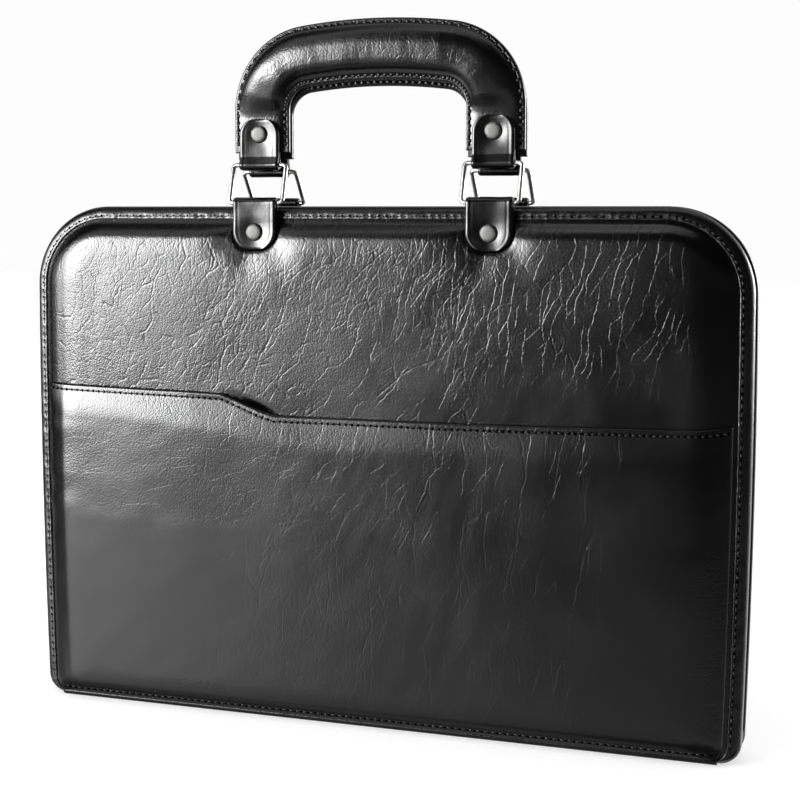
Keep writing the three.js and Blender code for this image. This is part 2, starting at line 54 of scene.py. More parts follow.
# %% [markdown]
# ## Small tools
# Shapes are worked out in millimetres and scaled to metres at the end. Most leather pieces are skins: a
# flat grid whose points are moved to their places, which keeps the faces even and easy to read. A smooth
# curve through a few rows stands for a profile, so a profile can be read as a short table.

# %% Curves through short tables
def smooth_curve(rows):
    """A smooth line through (place, value) rows that never swings past them."""
    places = [place for place, _ in rows]
    values = [value for _, value in rows]
    spans = [b - a for a, b in zip(places, places[1:])]
    steps = [(b - a) / span for a, b, span in zip(values, values[1:], spans)]
    inner = [2 * a * b / (a + b) if a * b > 0 else 0.0 for a, b in zip(steps, steps[1:])]
    slopes = [steps[0], *inner, steps[-1]]

    def read(place):
        place = min(max(place, places[0]), places[-1])
        i = min(bisect_right(places, place) - 1, len(steps) - 1)
        t = (place - places[i]) / spans[i]
        start = (1 + 2 * t) * (1 - t) ** 2 * values[i] + t * (1 - t) ** 2 * spans[i] * slopes[i]
        end = t * t * (3 - 2 * t) * values[i + 1] + t * t * (t - 1) * spans[i] * slopes[i + 1]
        return start + end

    return read


def step(low, high, value):
    """0 below low, 1 above high, and a soft rise between."""
    t = min(max((value - low) / (high - low), 0.0), 1.0)
    return t * t * (3 - 2 * t)


def bump_at(distance, width):
    """A soft bump, 1 in its middle."""
    return math.exp(-((distance / width) ** 2))


def ripple(x, z, size, seed):
    """Smooth unevenness from about -1 to 1, with waves of about that size."""
    return noise.noise(Vector((x / size, seed, z / size)))


print("a curve reads", smooth_curve([(0, 0), (1, 1), (3, 2)])(2))

# %% Skins
def skin(bm, columns, rows, place):
    """A grid of points, each moved to place(u, v), with u and v from 0 to 1. Returns its vertices."""
    made = bmesh.ops.create_grid(bm, x_segments=columns, y_segments=rows, size=0.5)
    for vertex in made["verts"]:
        vertex.co = place(vertex.co.x + 0.5, vertex.co.y + 0.5)
    return made["verts"]


def rim_edges(vertices):
    """The open edges of a skin."""
    edges = {edge for vertex in vertices for edge in vertex.link_edges}
    return [edge for edge in edges if edge.is_boundary]


def wall(columns, rows, place, thick):
    """A sheet with thickness: a fine outer skin and a coarser inner one, joined round their rims."""
    bm = bmesh.new()
    front = skin(bm, columns, rows, lambda u, v: place(u, v, 0.0))
    back = skin(bm, columns // 2, rows // 2, lambda u, v: place(u, v, thick))
    bmesh.ops.bridge_loops(bm, edges=rim_edges(front) + rim_edges(back))
    return bm


plain_wall = wall(4, 2, lambda u, v, thick: Vector((u, v, thick)), 1.0)
print("a wall of 4 by 2 has", len(plain_wall.faces), "faces")
plain_wall.free()

# %% Pieces
HALF_TURN = Matrix.Rotation(math.pi, 3, "Z")


def to_mesh(bm, name):
    """Turns a bmesh into a mesh."""
    mesh = bpy.data.meshes.new(name)
    bm.to_mesh(mesh)
    bm.free()
    return mesh


def add_object(name, data):
    """Puts a mesh, a lamp or a camera into the scene."""
    made = bpy.data.objects.new(name, data)
    bpy.context.scene.collection.objects.link(made)
    return made


def piece(name, bm, body, material, nodes=(), turned=False):
    """Scales a bmesh to metres, gives it a finish, and lets it ride on a body in place of CAD nodes."""
    if turned:
        bmesh.ops.rotate(bm, cent=(0, 0, 0), matrix=HALF_TURN, verts=bm.verts)
    bmesh.ops.recalc_face_normals(bm, faces=bm.faces)
    bmesh.ops.scale(bm, vec=(MM, MM, MM), verts=bm.verts)
    for face in bm.faces:
        face.smooth = True
    made = add_object(name, to_mesh(bm, name))
    made.data.materials.append(material)
    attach(made, body)
    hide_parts(*nodes)
    print(f"{name}: {len(made.data.polygons)} faces on {body}")
    return made


# %% [markdown]
# ## Finishes
# Every finish is built from nodes on Object coordinates, so that its pattern stays on the piece from any
# side. Colours are sRGB hex values. One helper adds a node, sets it and links it.

# %% Colour and node helpers
LEATHER_BLACK = "#040404"
LEATHER_WORN = "#080808"


def linear(hex_colour):
    """An sRGB hex colour as linear red, green, blue and alpha."""
    channels = [int(hex_colour[i : i + 2], 16) / 255 for i in (1, 3, 5)]
    curved = [c / 12.92 if c <= 0.04045 else ((c + 0.055) / 1.055) ** 2.4 for c in channels]
    return (*curved, 1.0)


def add_node(tree, kind, sockets, **settings):
    """Adds a node, sets its settings, and gives its sockets values or links."""
    made = tree.nodes.new(kind)
    for name, value in settings.items():
        setattr(made, name, value)
    for name, value in sockets.items():
        if isinstance(value, bpy.types.NodeSocket):
            tree.links.new(value, made.inputs[name])
        else:
            made.inputs[name].default_value = value
    return made


def new_finish(name, base, roughness, metallic=0.0):
    """A material with its tree, its shader and its Object coordinates."""
    material = bpy.data.materials.new(name)
    material.use_nodes = True
    tree = material.node_tree
    shader = tree.nodes["Principled BSDF"]
    shader.inputs["Base Color"].default_value = linear(base)
    shader.inputs["Roughness"].default_value = roughness
    shader.inputs["Metallic"].default_value = metallic
    place = tree.nodes.new("ShaderNodeTexCoord").outputs["Object"]
    return material, tree, shader, place


def per_mm(size):
    """The scale of a pattern whose repeat is that many millimetres."""
    return 1 / (size * MM)


print("leather black in linear light:", [round(c, 4) for c in linear(LEATHER_BLACK)[:3]])

# %% [markdown]
# ### Black leather
# The panels are glazed cowhide: nearly black, under a clear finish that mirrors the studio softly. A fine
# pebble grain breaks that mirror, and so do creases from wear. A crease is the edge of a long, leaning
# cell, bent by noise so that it never runs straight, and shown only in patches. Each row of creases has
# its own lean and its own place on the piece. Real grain is finer than the millimetre it is drawn at here,
# because anything finer would not show at this picture's size.

# %% Nodes for ramps and sums
def ramp(tree, value, low, high, start=0.0, end=1.0, shape="SMOOTHSTEP"):
    """A change from start to end while a value goes from low to high, soft unless it is LINEAR."""
    sockets = {"Value": value, "From Min": low, "From Max": high, "To Min": start, "To Max": end}
    return add_node(tree, "ShaderNodeMapRange", sockets, interpolation_type=shape).outputs["Result"]


def maths(tree, operation, *values):
    """One sum on up to three values."""
    return add_node(tree, "ShaderNodeMath", dict(enumerate(values)), operation=operation).outputs[0]


MOST_OF_NOISE = (0.3, 0.7)


def noise_at(tree, place, size, detail, output="Fac"):
    """Noise with waves of a size in millimetres."""
    sockets = {"Vector": place, "Scale": per_mm(size), "Detail": detail}
    return add_node(tree, "ShaderNodeTexNoise", sockets).outputs[output]


def swayed(tree, place, size, reach):
    """The same place, moved about by a noise."""
    sway = noise_at(tree, place, size, 2.0, "Color")
    middle = {0: sway, 1: (0.5, 0.5, 0.5)}
    centred = add_node(tree, "ShaderNodeVectorMath", middle, operation="SUBTRACT").outputs["Vector"]
    moved = {0: centred, 1: (reach * MM, reach * MM, reach * MM), 2: place}
    return add_node(tree, "ShaderNodeVectorMath", moved, operation="MULTIPLY_ADD").outputs["Vector"]


def raise_by(tree, shader, height, depth, strength):
    """Gives a shader the relief of a height, with a depth in millimetres."""
    sockets = {"Height": height, "Distance": depth * MM, "Strength": strength}
    tree.links.new(add_node(tree, "ShaderNodeBump", sockets).outputs["Normal"], shader.inputs["Normal"])


print("one millimetre of pattern is a scale of", per_mm(1))

# %% Creases
CREASE_COLUMNS = (
    "lean", "across", "along", "width", "depth", "shown_above", "left", "right", "low", "seed",
)
PLACE_FADE = 36 * MM
PATCH_FADE = 0.15
PATCH_SCALE = 0.9


def crease_height(tree, place, bent, crease):
    """0 in the bottom of a crease, 1 on open leather."""
    across = crease["across"]
    sockets = {
        "Vector": bent,
        "Rotation": (math.radians(90), math.radians(crease["lean"]), 0.0),
        "Scale": (across * MM, crease["along"] * MM, 1.0),
        "Location": (crease["seed"], 0.0, 0.0),
    }
    turned = add_node(tree, "ShaderNodeMapping", sockets, vector_type="TEXTURE").outputs["Vector"]
    edge = add_node(
        tree, "ShaderNodeTexVoronoi", {"Vector": turned, "Scale": 1.0},
        feature="DISTANCE_TO_EDGE", voronoi_dimensions="2D",
    ).outputs["Distance"]
    sockets = {"Vector": turned, "Scale": PATCH_SCALE, "Detail": 2.0}
    patch = add_node(tree, "ShaderNodeTexNoise", sockets, noise_dimensions="2D").outputs["Fac"]
    x, _, z = add_node(tree, "ShaderNodeSeparateXYZ", {"Vector": place}).outputs
    shown = ramp(tree, patch, crease["shown_above"], crease["shown_above"] + PATCH_FADE)
    left, right, low = (crease[side] * MM for side in ("left", "right", "low"))
    for value, start, end in [
        (x, left, left + PLACE_FADE),
        (x, right, right - PLACE_FADE),
        (z, low, low + PLACE_FADE),
    ]:
        shown = maths(tree, "MULTIPLY", shown, ramp(tree, value, start, end))
    open_leather = ramp(tree, edge, 0.0, crease["width"] / 2 / across)
    return add_node(tree, "ShaderNodeMix", {"Factor": shown, 2: 1.0, 3: open_leather}).outputs[0]


print("a row of creases has", len(CREASE_COLUMNS), "values")

# %% Leathers
LONG_SWAY = (24, 11.0)
SHORT_SWAY = (3.2, 1.7)
POLISH_SIZE = 34
POLISH_SPREAD = (-0.03, 0.04)


def leather(name, roughness, grain, wave, creases=()):
    """Glazed leather. Grain and wave are each (size, depth) in millimetres, creases are rows of a table."""
    material, tree, shader, place = new_finish(name, LEATHER_BLACK, roughness)
    bent = swayed(tree, swayed(tree, place, *LONG_SWAY), *SHORT_SWAY)
    sockets = {"Vector": place, "Scale": per_mm(grain[0])}
    pebble = add_node(tree, "ShaderNodeTexVoronoi", sockets, feature="F1").outputs["Distance"]
    height = maths(tree, "MULTIPLY", pebble, -grain[1])
    height = maths(tree, "MULTIPLY_ADD", noise_at(tree, bent, wave[0], 2.0), wave[1], height)
    for row in creases:
        crease = dict(zip(CREASE_COLUMNS, row))
        open_leather = crease_height(tree, place, bent, crease)
        height = maths(tree, "MULTIPLY_ADD", open_leather, crease["depth"], height)
    raise_by(tree, shader, height, 1.0, 1.0)
    polish = noise_at(tree, place, POLISH_SIZE, 4.0)
    sockets = {"Factor": polish, 6: linear(LEATHER_BLACK), 7: linear(LEATHER_WORN)}
    tone = add_node(tree, "ShaderNodeMix", sockets, data_type="RGBA").outputs[2]
    tree.links.new(tone, shader.inputs["Base Color"])
    gloss = ramp(tree, polish, *MOST_OF_NOISE, *[roughness + change for change in POLISH_SPREAD])
    tree.links.new(gloss, shader.inputs["Roughness"])
    return material


PANEL_CREASES = [
    (14, 5.0, 9.5, 0.9, 0.03, 0.4, -240, -40, 0, 1.7),
    (30, 8.0, 17, 1.4, 0.045, 0.45, -240, -10, 0, 8.3),
    (10, 4.0, 13, 0.8, 0.03, 0.4, -110, 80, 190, 5.3),
    (34, 6.5, 20, 0.95, 0.036, 0.43, -110, 90, 0, 9.1),
    (15, 5.2, 17, 0.65, 0.04, 0.35, 15, 188, 170, 3.7),
]
POCKET_CREASES = [
    (82, 6, 18, 0.75, 0.02, 0.46, -240, 10, 80, 3.1),
    (55, 8, 22, 0.9, 0.023, 0.48, -110, 100, 45, 7.7),
    (4, 12, 50, 0.9, 0.024, 0.46, -120, 170, -40, 6.1),
    (20, 9, 26, 0.6, 0.024, 0.46, -90, 150, -40, 2.6),
]
HANDLE_CREASES = [(12, 3.2, 10, 0.6, 0.03, 0.42, -110, 110, 0, 4.4)]
LEATHER = {
    "panel": leather("glazed_cowhide_panel", 0.19, (0.95, 0.046), (8, 0.06), PANEL_CREASES),
    "pocket": leather("glazed_cowhide_pocket", 0.18, (0.95, 0.04), (8, 0.035), POCKET_CREASES),
    "edge": leather("folded_edge_leather", 0.25, (1.3, 0.04), (5, 0.08)),
    "strap": leather("strap_leather", 0.2, (1.0, 0.012), (5, 0.03)),
    "handle": leather("handle_leather", 0.23, (1.2, 0.045), (6, 0.06), HANDLE_CREASES),
}
print("leathers:", sorted(LEATHER))

# %% [markdown]
# ### Thread, zip and metal
# The seams are sewn with bonded polyester thread, which shines a little along its twist. The zip tape is a
# woven polyester, the coil a drawn nylon. The rings are bent from nickel-plated wire and stay bright. The
# rivet caps are pressed and tumbled, which leaves them satin.

# %% Thread, cloth, nylon and nickel
PLY_REPEAT = 1.0851
WEAVE_REPEAT = 1.381


def wave_bands(tree, place, repeat, way, distortion=0.0):
    """Bands that come again after a repeat in millimetres."""
    sockets = {"Vector": place, "Scale": per_mm(repeat) * math.pi / 10, "Distortion": distortion}
    return add_node(tree, "ShaderNodeTexWave", sockets, bands_direction=way).outputs["Fac"]


def twisted_thread():
    """Bonded thread: slanting ply lines on a low sheen, drawn coarse so that they show."""
    material, tree, shader, place = new_finish("bonded_polyester_thread", "#0c0c0c", 0.42)
    raise_by(tree, shader, wave_bands(tree, place, PLY_REPEAT, "DIAGONAL", 1.5), 0.08, 0.7)
    return material


def woven_tape():
    """Plain weave, drawn a little coarse so that it shows."""
    material, tree, shader, place = new_finish("woven_zip_tape", "#0d0d0e", 0.8)
    threads = [wave_bands(tree, place, WEAVE_REPEAT, way) for way in ("X", "Z")]
    raise_by(tree, shader, maths(tree, "MULTIPLY", *threads), 0.15, 0.8)
    shader.inputs["Sheen Weight"].default_value = 0.3
    return material


def uneven(name, base, roughness, metallic, spot_mm, spread, depth):
    """A finish with soft spots of gloss and a faint unevenness, for nylon and for plated metal."""
    material, tree, shader, place = new_finish(name, base, roughness, metallic)
    spots = noise_at(tree, place, spot_mm, 4.0)
    gloss = ramp(tree, spots, *MOST_OF_NOISE, roughness - spread, roughness + spread, "LINEAR")
    tree.links.new(gloss, shader.inputs["Roughness"])
    raise_by(tree, shader, spots, depth, 0.6)
    return material


def painted_needle_hole_shade():
    """Painted shade for the needle hole between two stitches: a flat black that sends no light back."""
    material, _, shader, _ = new_finish("painted_needle_hole_shade", "#000000", 1.0)
    shader.inputs["Specular IOR Level"].default_value = 0.0
    return material


THREAD = twisted_thread()
# The needle holes are painted shade: a flat black with no shine.
PAINTED_HOLE_SHADE = painted_needle_hole_shade()
TAPE = woven_tape()
COIL = uneven("drawn_nylon_coil", "#121213", 0.38, 0.0, 1.2, 0.06, 0.03)
WIRE_NICKEL = uneven("nickel_plated_wire", "#c4c4c2", 0.36, 1.0, 3.0, 0.05, 0.02)
RIVET_NICKEL = uneven("satin_nickel_cap", "#5c5c5a", 0.5, 1.0, 0.7, 0.06, 0.03)
SLIDER_NICKEL = uneven("cast_nickel_slider", "#bdbdb9", 0.28, 1.0, 2.0, 0.06, 0.02)
print("materials:", len(bpy.data.materials))

# %% [markdown]
# ## The outline of the case
# Both faces of the case share one outline: straight sides that bow out a little, wide round top corners and
# tight bottom ones. Distances in from that outline set where the padding rises and where the binding lies.
# A depth is how far a point stands out from the middle plane of the case.

# %% Outline sizes and places
SIDE_BOW = 1.6
TOP_CORNER = 43.0
BOTTOM_CORNER = 11.0
BORDER = 8.6
PANEL_EDGE = 2.0
BOTTOM_NARROW = 0.25
CASE_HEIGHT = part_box("front_binding")[1].z / MM
HALF_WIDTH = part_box("front_binding")[1].x / MM - SIDE_BOW
TOP_RUN = HALF_WIDTH - TOP_CORNER
TOP_ARC = math.pi / 2 * TOP_CORNER
SIDE_RUN = CASE_HEIGHT - TOP_CORNER - BOTTOM_CORNER
BOTTOM_ARC = math.pi / 2 * BOTTOM_CORNER
RIM = TOP_RUN + TOP_ARC + SIDE_RUN + BOTTOM_ARC
FORWARD = Vector((0, -1, 0))


def bowed(x, z):
    """The sides bow out at mid height."""
    middle = CASE_HEIGHT / 2
    return x * (1 + SIDE_BOW * (1 - ((z - middle) / middle) ** 2) / HALF_WIDTH)


def bottom_rise(inset):
    """How high an inset lies at the bottom edge, where the sewn border is narrow."""
    in_border = min(max(inset - PANEL_EDGE, 0), BORDER - PANEL_EDGE)
    return min(inset, PANEL_EDGE) + in_border * BOTTOM_NARROW + max(inset - BORDER, 0)


def rim_point(along, inset, depth):
    """A point of the rim: along is measured from the top middle, and grows to the right."""
    side = 1 if along >= 0 else -1
    left = abs(along)
    if left < TOP_RUN:
        x, z = left, CASE_HEIGHT - inset
    elif left < TOP_RUN + TOP_ARC:
        angle = (left - TOP_RUN) / TOP_CORNER
        x = TOP_RUN + (TOP_CORNER - inset) * math.sin(angle)
        z = CASE_HEIGHT - TOP_CORNER + (TOP_CORNER - inset) * math.cos(angle)
    elif left < RIM - BOTTOM_ARC:
        x, z = HALF_WIDTH - inset, CASE_HEIGHT - TOP_CORNER - (left - TOP_RUN - TOP_ARC)
    else:
        angle = min((left - RIM + BOTTOM_ARC) / BOTTOM_CORNER, math.pi / 2)
        x = HALF_WIDTH - BOTTOM_CORNER + (BOTTOM_CORNER - inset) * math.cos(angle)
        z = BOTTOM_CORNER - (BOTTOM_CORNER - bottom_rise(inset)) * math.sin(angle)
        x -= max(left - RIM, 0)
    return Vector((bowed(side * x, z), -depth, z))


def place_on(point, t, gap):
    """A place on the line point(t), as a matrix: X runs along the line, and Y out to the front."""
    onward = (point(t + gap) - point(t - gap)).normalized()
    side = onward.cross(FORWARD).normalized()
    turn = Matrix((onward, side.cross(onward), side)).transposed()
    return Matrix.Translation(point(t)) @ turn.to_4x4()


print("half rim length in mm:", round(RIM, 1))

# %% [markdown]
# ## Padded panels
# Each face is a sheet of leather drawn over thin foam and a stiff board. The border is pulled flat where
# the binding is sewn on, and the face swells from there in a soft shoulder. The straps press dimples into
# it, with small folds that fan out below. The foam also lets the leather buckle into shallow creases, and
# behind the slanting part of the pocket's hem the front face falls back. A cloth simulation would swell the
# face evenly, so all of this is modelled directly.

# %% Padding by distance from the rim
PAD = smooth_curve(
    [(2, 10.0), (6.6, 12.2), (8.6, 12.9), (11, 15.1), (13.5, 17.1), (17, 18.3), (26, 18.9), (95, 19.5)]
)
SOFT_MITRE = 7.0
SIDE_SHIFT = 5.0
SIDE_BLEND = 25
SHOULDER_END = 22.0


def inset_at(x, z):
    """How far in from the outline a place lies, with the pad's bottom corners rounded off."""
    across = abs(x)
    low = PANEL_EDGE + (BORDER - PANEL_EDGE) * BOTTOM_NARROW
    from_bottom = BORDER + z - low
    if z < low:
        from_bottom = z if z < PANEL_EDGE else PANEL_EDGE + (z - PANEL_EDGE) / BOTTOM_NARROW
    over = across - TOP_RUN
    above = z - CASE_HEIGHT + TOP_CORNER
    from_rim = min(HALF_WIDTH - across, CASE_HEIGHT - z)
    if over > 0 and above > 0:
        from_rim = TOP_CORNER - math.hypot(over, above)
    beside = step(-SIDE_BLEND, SIDE_BLEND, (CASE_HEIGHT - z) - (HALF_WIDTH - across))
    from_rim -= SIDE_SHIFT * beside * step(BORDER, SHOULDER_END, from_rim)
    blend = max(SOFT_MITRE - abs(from_rim - from_bottom), 0) / SOFT_MITRE
    return min(from_rim, from_bottom) - blend * blend * SOFT_MITRE / 4


print("padding in mm at the middle:", round(PAD(inset_at(0, 140)), 2))

# %% Dimples under the straps
STRAP_X = 63.4
HANDLE_ASIDE = 2.2
TAB_HALF = 12.0
TAB_TOP = 267.4
TAB_END = 253.5
TAB_SEAT = smooth_curve([(TAB_END, 15.4), (TAB_TOP, 15.0)])
TAB_CORNER = 9.5
TAB_PRESS = smooth_curve(
    [(-1.2, 1.0), (0.6, 0.5), (2, 0.36), (5, 0.27), (9, 0.15), (14, 0.05), (20, 0.0)]
)
TAB_REACH = 45
TAB_FOLD = 0.13
TAB_FOLD_AT = 9.0
TAB_FOLD_WIDTH = 10
TAB_FAN = (7, 1.3)


def strap_press(x, z, face, middle):
    """How far a strap's tab presses the padding in, most at its edges, and the folds that fan out."""
    aside = abs(x - middle) - STRAP_X
    beside = max(abs(aside) - TAB_HALF + TAB_CORNER, 0)
    outside = math.hypot(beside, max(TAB_END + TAB_CORNER - z, 0)) - TAB_CORNER
    if outside > TAB_REACH:
        return 0.0
    pressed = max(face - TAB_SEAT(z), 0) * TAB_PRESS(outside)
    folds, shift = TAB_FAN
    fan = folds * math.atan2(aside, TAB_TOP - z) + shift * math.copysign(1, x)
    fold = TAB_FOLD * math.cos(fan) * bump_at(outside - TAB_FOLD_AT, TAB_FOLD_WIDTH)
    return pressed + fold * step(TAB_TOP + 4, TAB_END, z)


tab_dimple = strap_press(STRAP_X + HANDLE_ASIDE, TAB_END, PAD(inset_at(STRAP_X, TAB_END)), HANDLE_ASIDE)
print("dimple in mm at the end of a strap:", round(tab_dimple, 2))

# %% Unevenness and buckles
def unevenness(x, z, waves, seed):
    """The sum of some waves, each a row of height and size."""
    return sum(height * ripple(x, z, size, seed + i) for i, (height, size) in enumerate(waves))


def buckle_at(x, z, lean, buckle, seed):
    """Shallow buckles of a height, width and length, which lean to the right.

    Lean holds the degrees at the left and at the right, and the two places between which they change.
    """
    height, across, along = buckle
    left, right, start, end = lean
    turn = math.radians(left + (right - left) * step(start, end, x))
    turn_x = x * math.cos(turn) - z * math.sin(turn)
    turn_z = x * math.sin(turn) + z * math.cos(turn)
    return height * noise.noise(Vector((turn_x / across, seed, turn_z / along)))


print("a wave of 1 mm at one place:", round(unevenness(5, 9, [(1, 20)], 3.5), 2))

# %% The face of a panel
PANEL_SEED = 1.5
PANEL_LOOSE = (9, 26)
PANEL_WAVES = [(0.3, 55), (0.05, 17)]
PANEL_BUCKLE = (0.06, 9, 34)
PANEL_LEAN = (8, 32, -150, 20)
HEM = smooth_curve(
    [
        (-187, 179.4), (-140, 178.5), (-79, 177.2), (-76.5, 176.4), (-50.5, 167.3), (-47.5, 166.7),
        (40, 166.7), (136, 167.9), (170, 168.5), (187, 170.5),
    ]
)
MOUTH_X = -60.5
MOUTH_REACH = 11.0
MOUTH_DEPTH = 1.2
MOUTH_TOP = (4.2, 0.5)
MOUTH_LOW = (-14, -3)


def mouth_at(x, z):
    """How far the front panel falls back behind the slanting part of the pocket's hem."""
    above = z - HEM(x)
    near = bump_at(x - MOUTH_X, MOUTH_REACH)
    return MOUTH_DEPTH * near * step(*MOUTH_TOP, above) * step(*MOUTH_LOW, above)


def panel_face(x, z, seed, middle):
    """How far out the leather of a panel stands. Its straps are set out from a middle."""
    inset = inset_at(x, z)
    face = PAD(inset)
    rough = unevenness(x, z, PANEL_WAVES, seed) + buckle_at(x, z, PANEL_LEAN, PANEL_BUCKLE, seed + 2)
    return face + step(*PANEL_LOOSE, inset) * rough - strap_press(x, z, face, middle)


print("face in mm at the middle:", round(panel_face(0, 140, PANEL_SEED, HANDLE_ASIDE), 2))

# %% Build both panels
PANEL_WALL = 3.0
PANEL_COLUMNS = 300
PANEL_ROWS = 210
TOP_SHARE = 0.2


def panel_height(v):
    """Rows are even up the sides, and follow the turn of the top corners above them."""
    corner = CASE_HEIGHT - TOP_CORNER
    if v < 1 - TOP_SHARE:
        return PANEL_EDGE + (corner - PANEL_EDGE) * v / (1 - TOP_SHARE)
    return corner + (TOP_CORNER - PANEL_EDGE) * math.sin(math.pi / 2 * (v - 1 + TOP_SHARE) / TOP_SHARE)


def half_width(z):
    """Half the panel's width at a height."""
    side = HALF_WIDTH - PANEL_EDGE
    top = TOP_CORNER - PANEL_EDGE
    low = BOTTOM_CORNER - PANEL_EDGE
    above = max(z - CASE_HEIGHT + TOP_CORNER, 0)
    below = max(BOTTOM_CORNER - z, 0)
    cut = top - math.sqrt(max(top**2 - above**2, 0)) + low - math.sqrt(max(low**2 - below**2, 0))
    return side - cut


def case_place(turned):
    """The middle of a face's lower straps, seen from that face."""
    return Vector((-HANDLE_ASIDE if turned else HANDLE_ASIDE, 0, 0))


def panel(_, turned):
    """A padded panel as a wall of leather. The front one falls back behind the pocket's hem."""
    seed = PANEL_SEED + 20 * turned
    middle = case_place(turned).x

    def place(u, v, thick):
        z = panel_height(v)
        x = (2 * u - 1) * half_width(z)
        mouth = 0.0 if turned else mouth_at(x, z)
        return Vector((bowed(x, z), thick + mouth - panel_face(x, z, seed, middle), z))

    return wall(PANEL_COLUMNS, PANEL_ROWS, place, PANEL_WALL)


FACES = [("front", False), ("back", True)]


def on_both_faces(name, make, body, material, node):
    """A piece on each face, whose shape is make(face, turned). A body may be named for its face."""
    made = []
    for face, turned in FACES:
        nodes = [f"{face}_{node}"]
        shape = make(face, turned)
        made.append(piece(f"{face}_{name}", shape, body.format(face), material, nodes, turned))
    return made


for padded_panel in on_both_faces(
    "padded_panel", panel, "case", LEATHER["panel"], "panel"
):
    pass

# %% [markdown]
# ## Slip pocket
# The pocket is one sheet of leather, sewn at both sides and along the bottom. Its top edge is folded over
# and stitched, and steps down towards the right. The sheet stands off the panel at the hem, bellies out a
# little below it, and puckers beside the left seam. A grid with close rows at the hem can carry all of that.

# %% Shape of the pocket
POCKET_HALF = 186.3
POCKET_LOW = 3.6
POCKET_CLEAR = 2.25
POCKET_SHEET = 1.3
HEM_ROLL = 1.0
HEM_STITCH = 3.0
LOW_STITCH = 6.6
POCKET_CORNER = 183.5
CORNER_RISE = 2.3
BELLY_TOP = smooth_curve([(-187, 179.4), (-130, 178.3), (0, 166.9), (60, 166.9), (187, 169)])
AIR_BY_DROP = smooth_curve(
    [(0, 0.65), (3.5, 1.0), (13, 2.15), (17, 2.45), (22, 2.55), (60, 2.9), (180, 3.2)]
)
AIR_BY_HEIGHT = smooth_curve([(3.6, 0.2), (9, 0.3), (16, 0.5), (43, 1.4), (78, 2.4), (120, 3.2)])
POCKET_SEED = 31.0
POCKET_WAVES = [(0.2, 60), (0.03, 16)]
POCKET_BUCKLE = (0.05, 10, 34)
POCKET_LEAN = (64, 24, -60, 80)
SEAM_REACH = 15
LOOSE_ABOVE = (8, 30)
LOOSE_BELOW_HEM = (9, 20)
PUCKER = 0.28
PUCKER_REACH = 11.0
PUCKER_SIZE = 3.4
PUCKER_STRAY = (1.6, 20)
PUCKER_FROM = (4, 12)
PUCKER_TO = (120, 60)
HEM_GROOVE = 0.07
LOW_GROOVE = 0.22
GROOVE_WIDTH = 0.8


def pocket_face(x, z):
    """How far out the pocket's leather stands."""
    drop = HEM(x) - z
    full = step(0, SEAM_REACH, POCKET_HALF - abs(x))
    air = min(AIR_BY_DROP(BELLY_TOP(x) - z), AIR_BY_HEIGHT(z)) * full
    loose = full * step(*LOOSE_ABOVE, z) * step(*LOOSE_BELOW_HEM, drop)
    rough = unevenness(x, z, POCKET_WAVES, POCKET_SEED)
    rough += buckle_at(x, z, POCKET_LEAN, POCKET_BUCKLE, POCKET_SEED + 2)
    fade = math.exp(-max(POCKET_HALF + x, 0) / PUCKER_REACH)
    fade *= step(*PUCKER_FROM, drop) * step(*PUCKER_TO, drop)
    stray = unevenness(0, z, [PUCKER_STRAY], POCKET_SEED + 9)
    pucker = PUCKER * fade * math.sin(drop / PUCKER_SIZE + stray)
    grooves = HEM_GROOVE * bump_at(drop - HEM_STITCH, GROOVE_WIDTH)
    grooves += LOW_GROOVE * bump_at(z - LOW_STITCH, GROOVE_WIDTH)
    return PAD(inset_at(x, z)) + POCKET_CLEAR + air + loose * rough + pucker - grooves


print("pocket face in mm at its middle:", round(pocket_face(0, 90), 2))

# %% Build the pocket
POCKET_COLUMNS = 300
HEM_BAND = 11.0
HEM_ROWS = 24
LOW_BAND = 9.0
LOW_ROWS = 14
BELLY_ROWS = 96
ROLL_ROWS = 6
ROLL_TURN = math.radians(125)
ROLL_INSIDE = 0.9
POCKET_ROWS = LOW_ROWS + BELLY_ROWS + HEM_ROWS + ROLL_ROWS


def pocket_place(u, v, thick):
    """Rows run up from the bottom seam, closer at the seams, and roll over at the hem."""
    row = v * POCKET_ROWS
    x = (2 * u - 1) * POCKET_HALF
    low = POCKET_LOW + max(abs(x) - POCKET_CORNER, 0) * CORNER_RISE
    lip = HEM(x) - HEM_ROLL
    belly_top = HEM(x) - HEM_BAND
    if row <= LOW_ROWS:
        z = low + LOW_BAND * row / LOW_ROWS
    elif row <= LOW_ROWS + BELLY_ROWS:
        z = low + LOW_BAND + (belly_top - low - LOW_BAND) * (row - LOW_ROWS) / BELLY_ROWS
    else:
        z = belly_top + (lip - belly_top) * min((row - LOW_ROWS - BELLY_ROWS) / HEM_ROWS, 1)
    turn = ROLL_TURN * max(row - POCKET_ROWS + ROLL_ROWS, 0) / ROLL_ROWS
    radius = HEM_ROLL - ROLL_INSIDE * thick
    depth = pocket_face(x, z) - HEM_ROLL + radius * math.cos(turn)
    return Vector((bowed(x, z), -depth, z + radius * math.sin(turn)))


pocket_sheet = piece(
    "front_slip_pocket",
    wall(POCKET_COLUMNS, POCKET_ROWS, pocket_place, POCKET_SHEET),
    "case", LEATHER["pocket"], ["front_pocket"],
)

# %% [markdown]
# ## Binding
# A strip of leather is folded round the rim of each face and sewn through, 5 mm in. Its outer edge rolls
# over like piping. Every stitch pulls a small pucker into the strip. The section is a closed line of
# (inset, depth) rows, carried round the rim. The rows that show come first, and they alone pucker.

# %% Closed bands
def merge(bm, vertices):
    """Joins the points of a skin that fall together."""
    bmesh.ops.remove_doubles(bm, verts=vertices, dist=1e-4)


def closed_skin(bm, columns, section, place):
    """A skin that runs right round a section of rows, each put in its place by place(u, *row)."""
    count = len(section)
    merge(bm, skin(bm, columns, count, lambda u, v: place(u, *section[round(v * count) % count])))


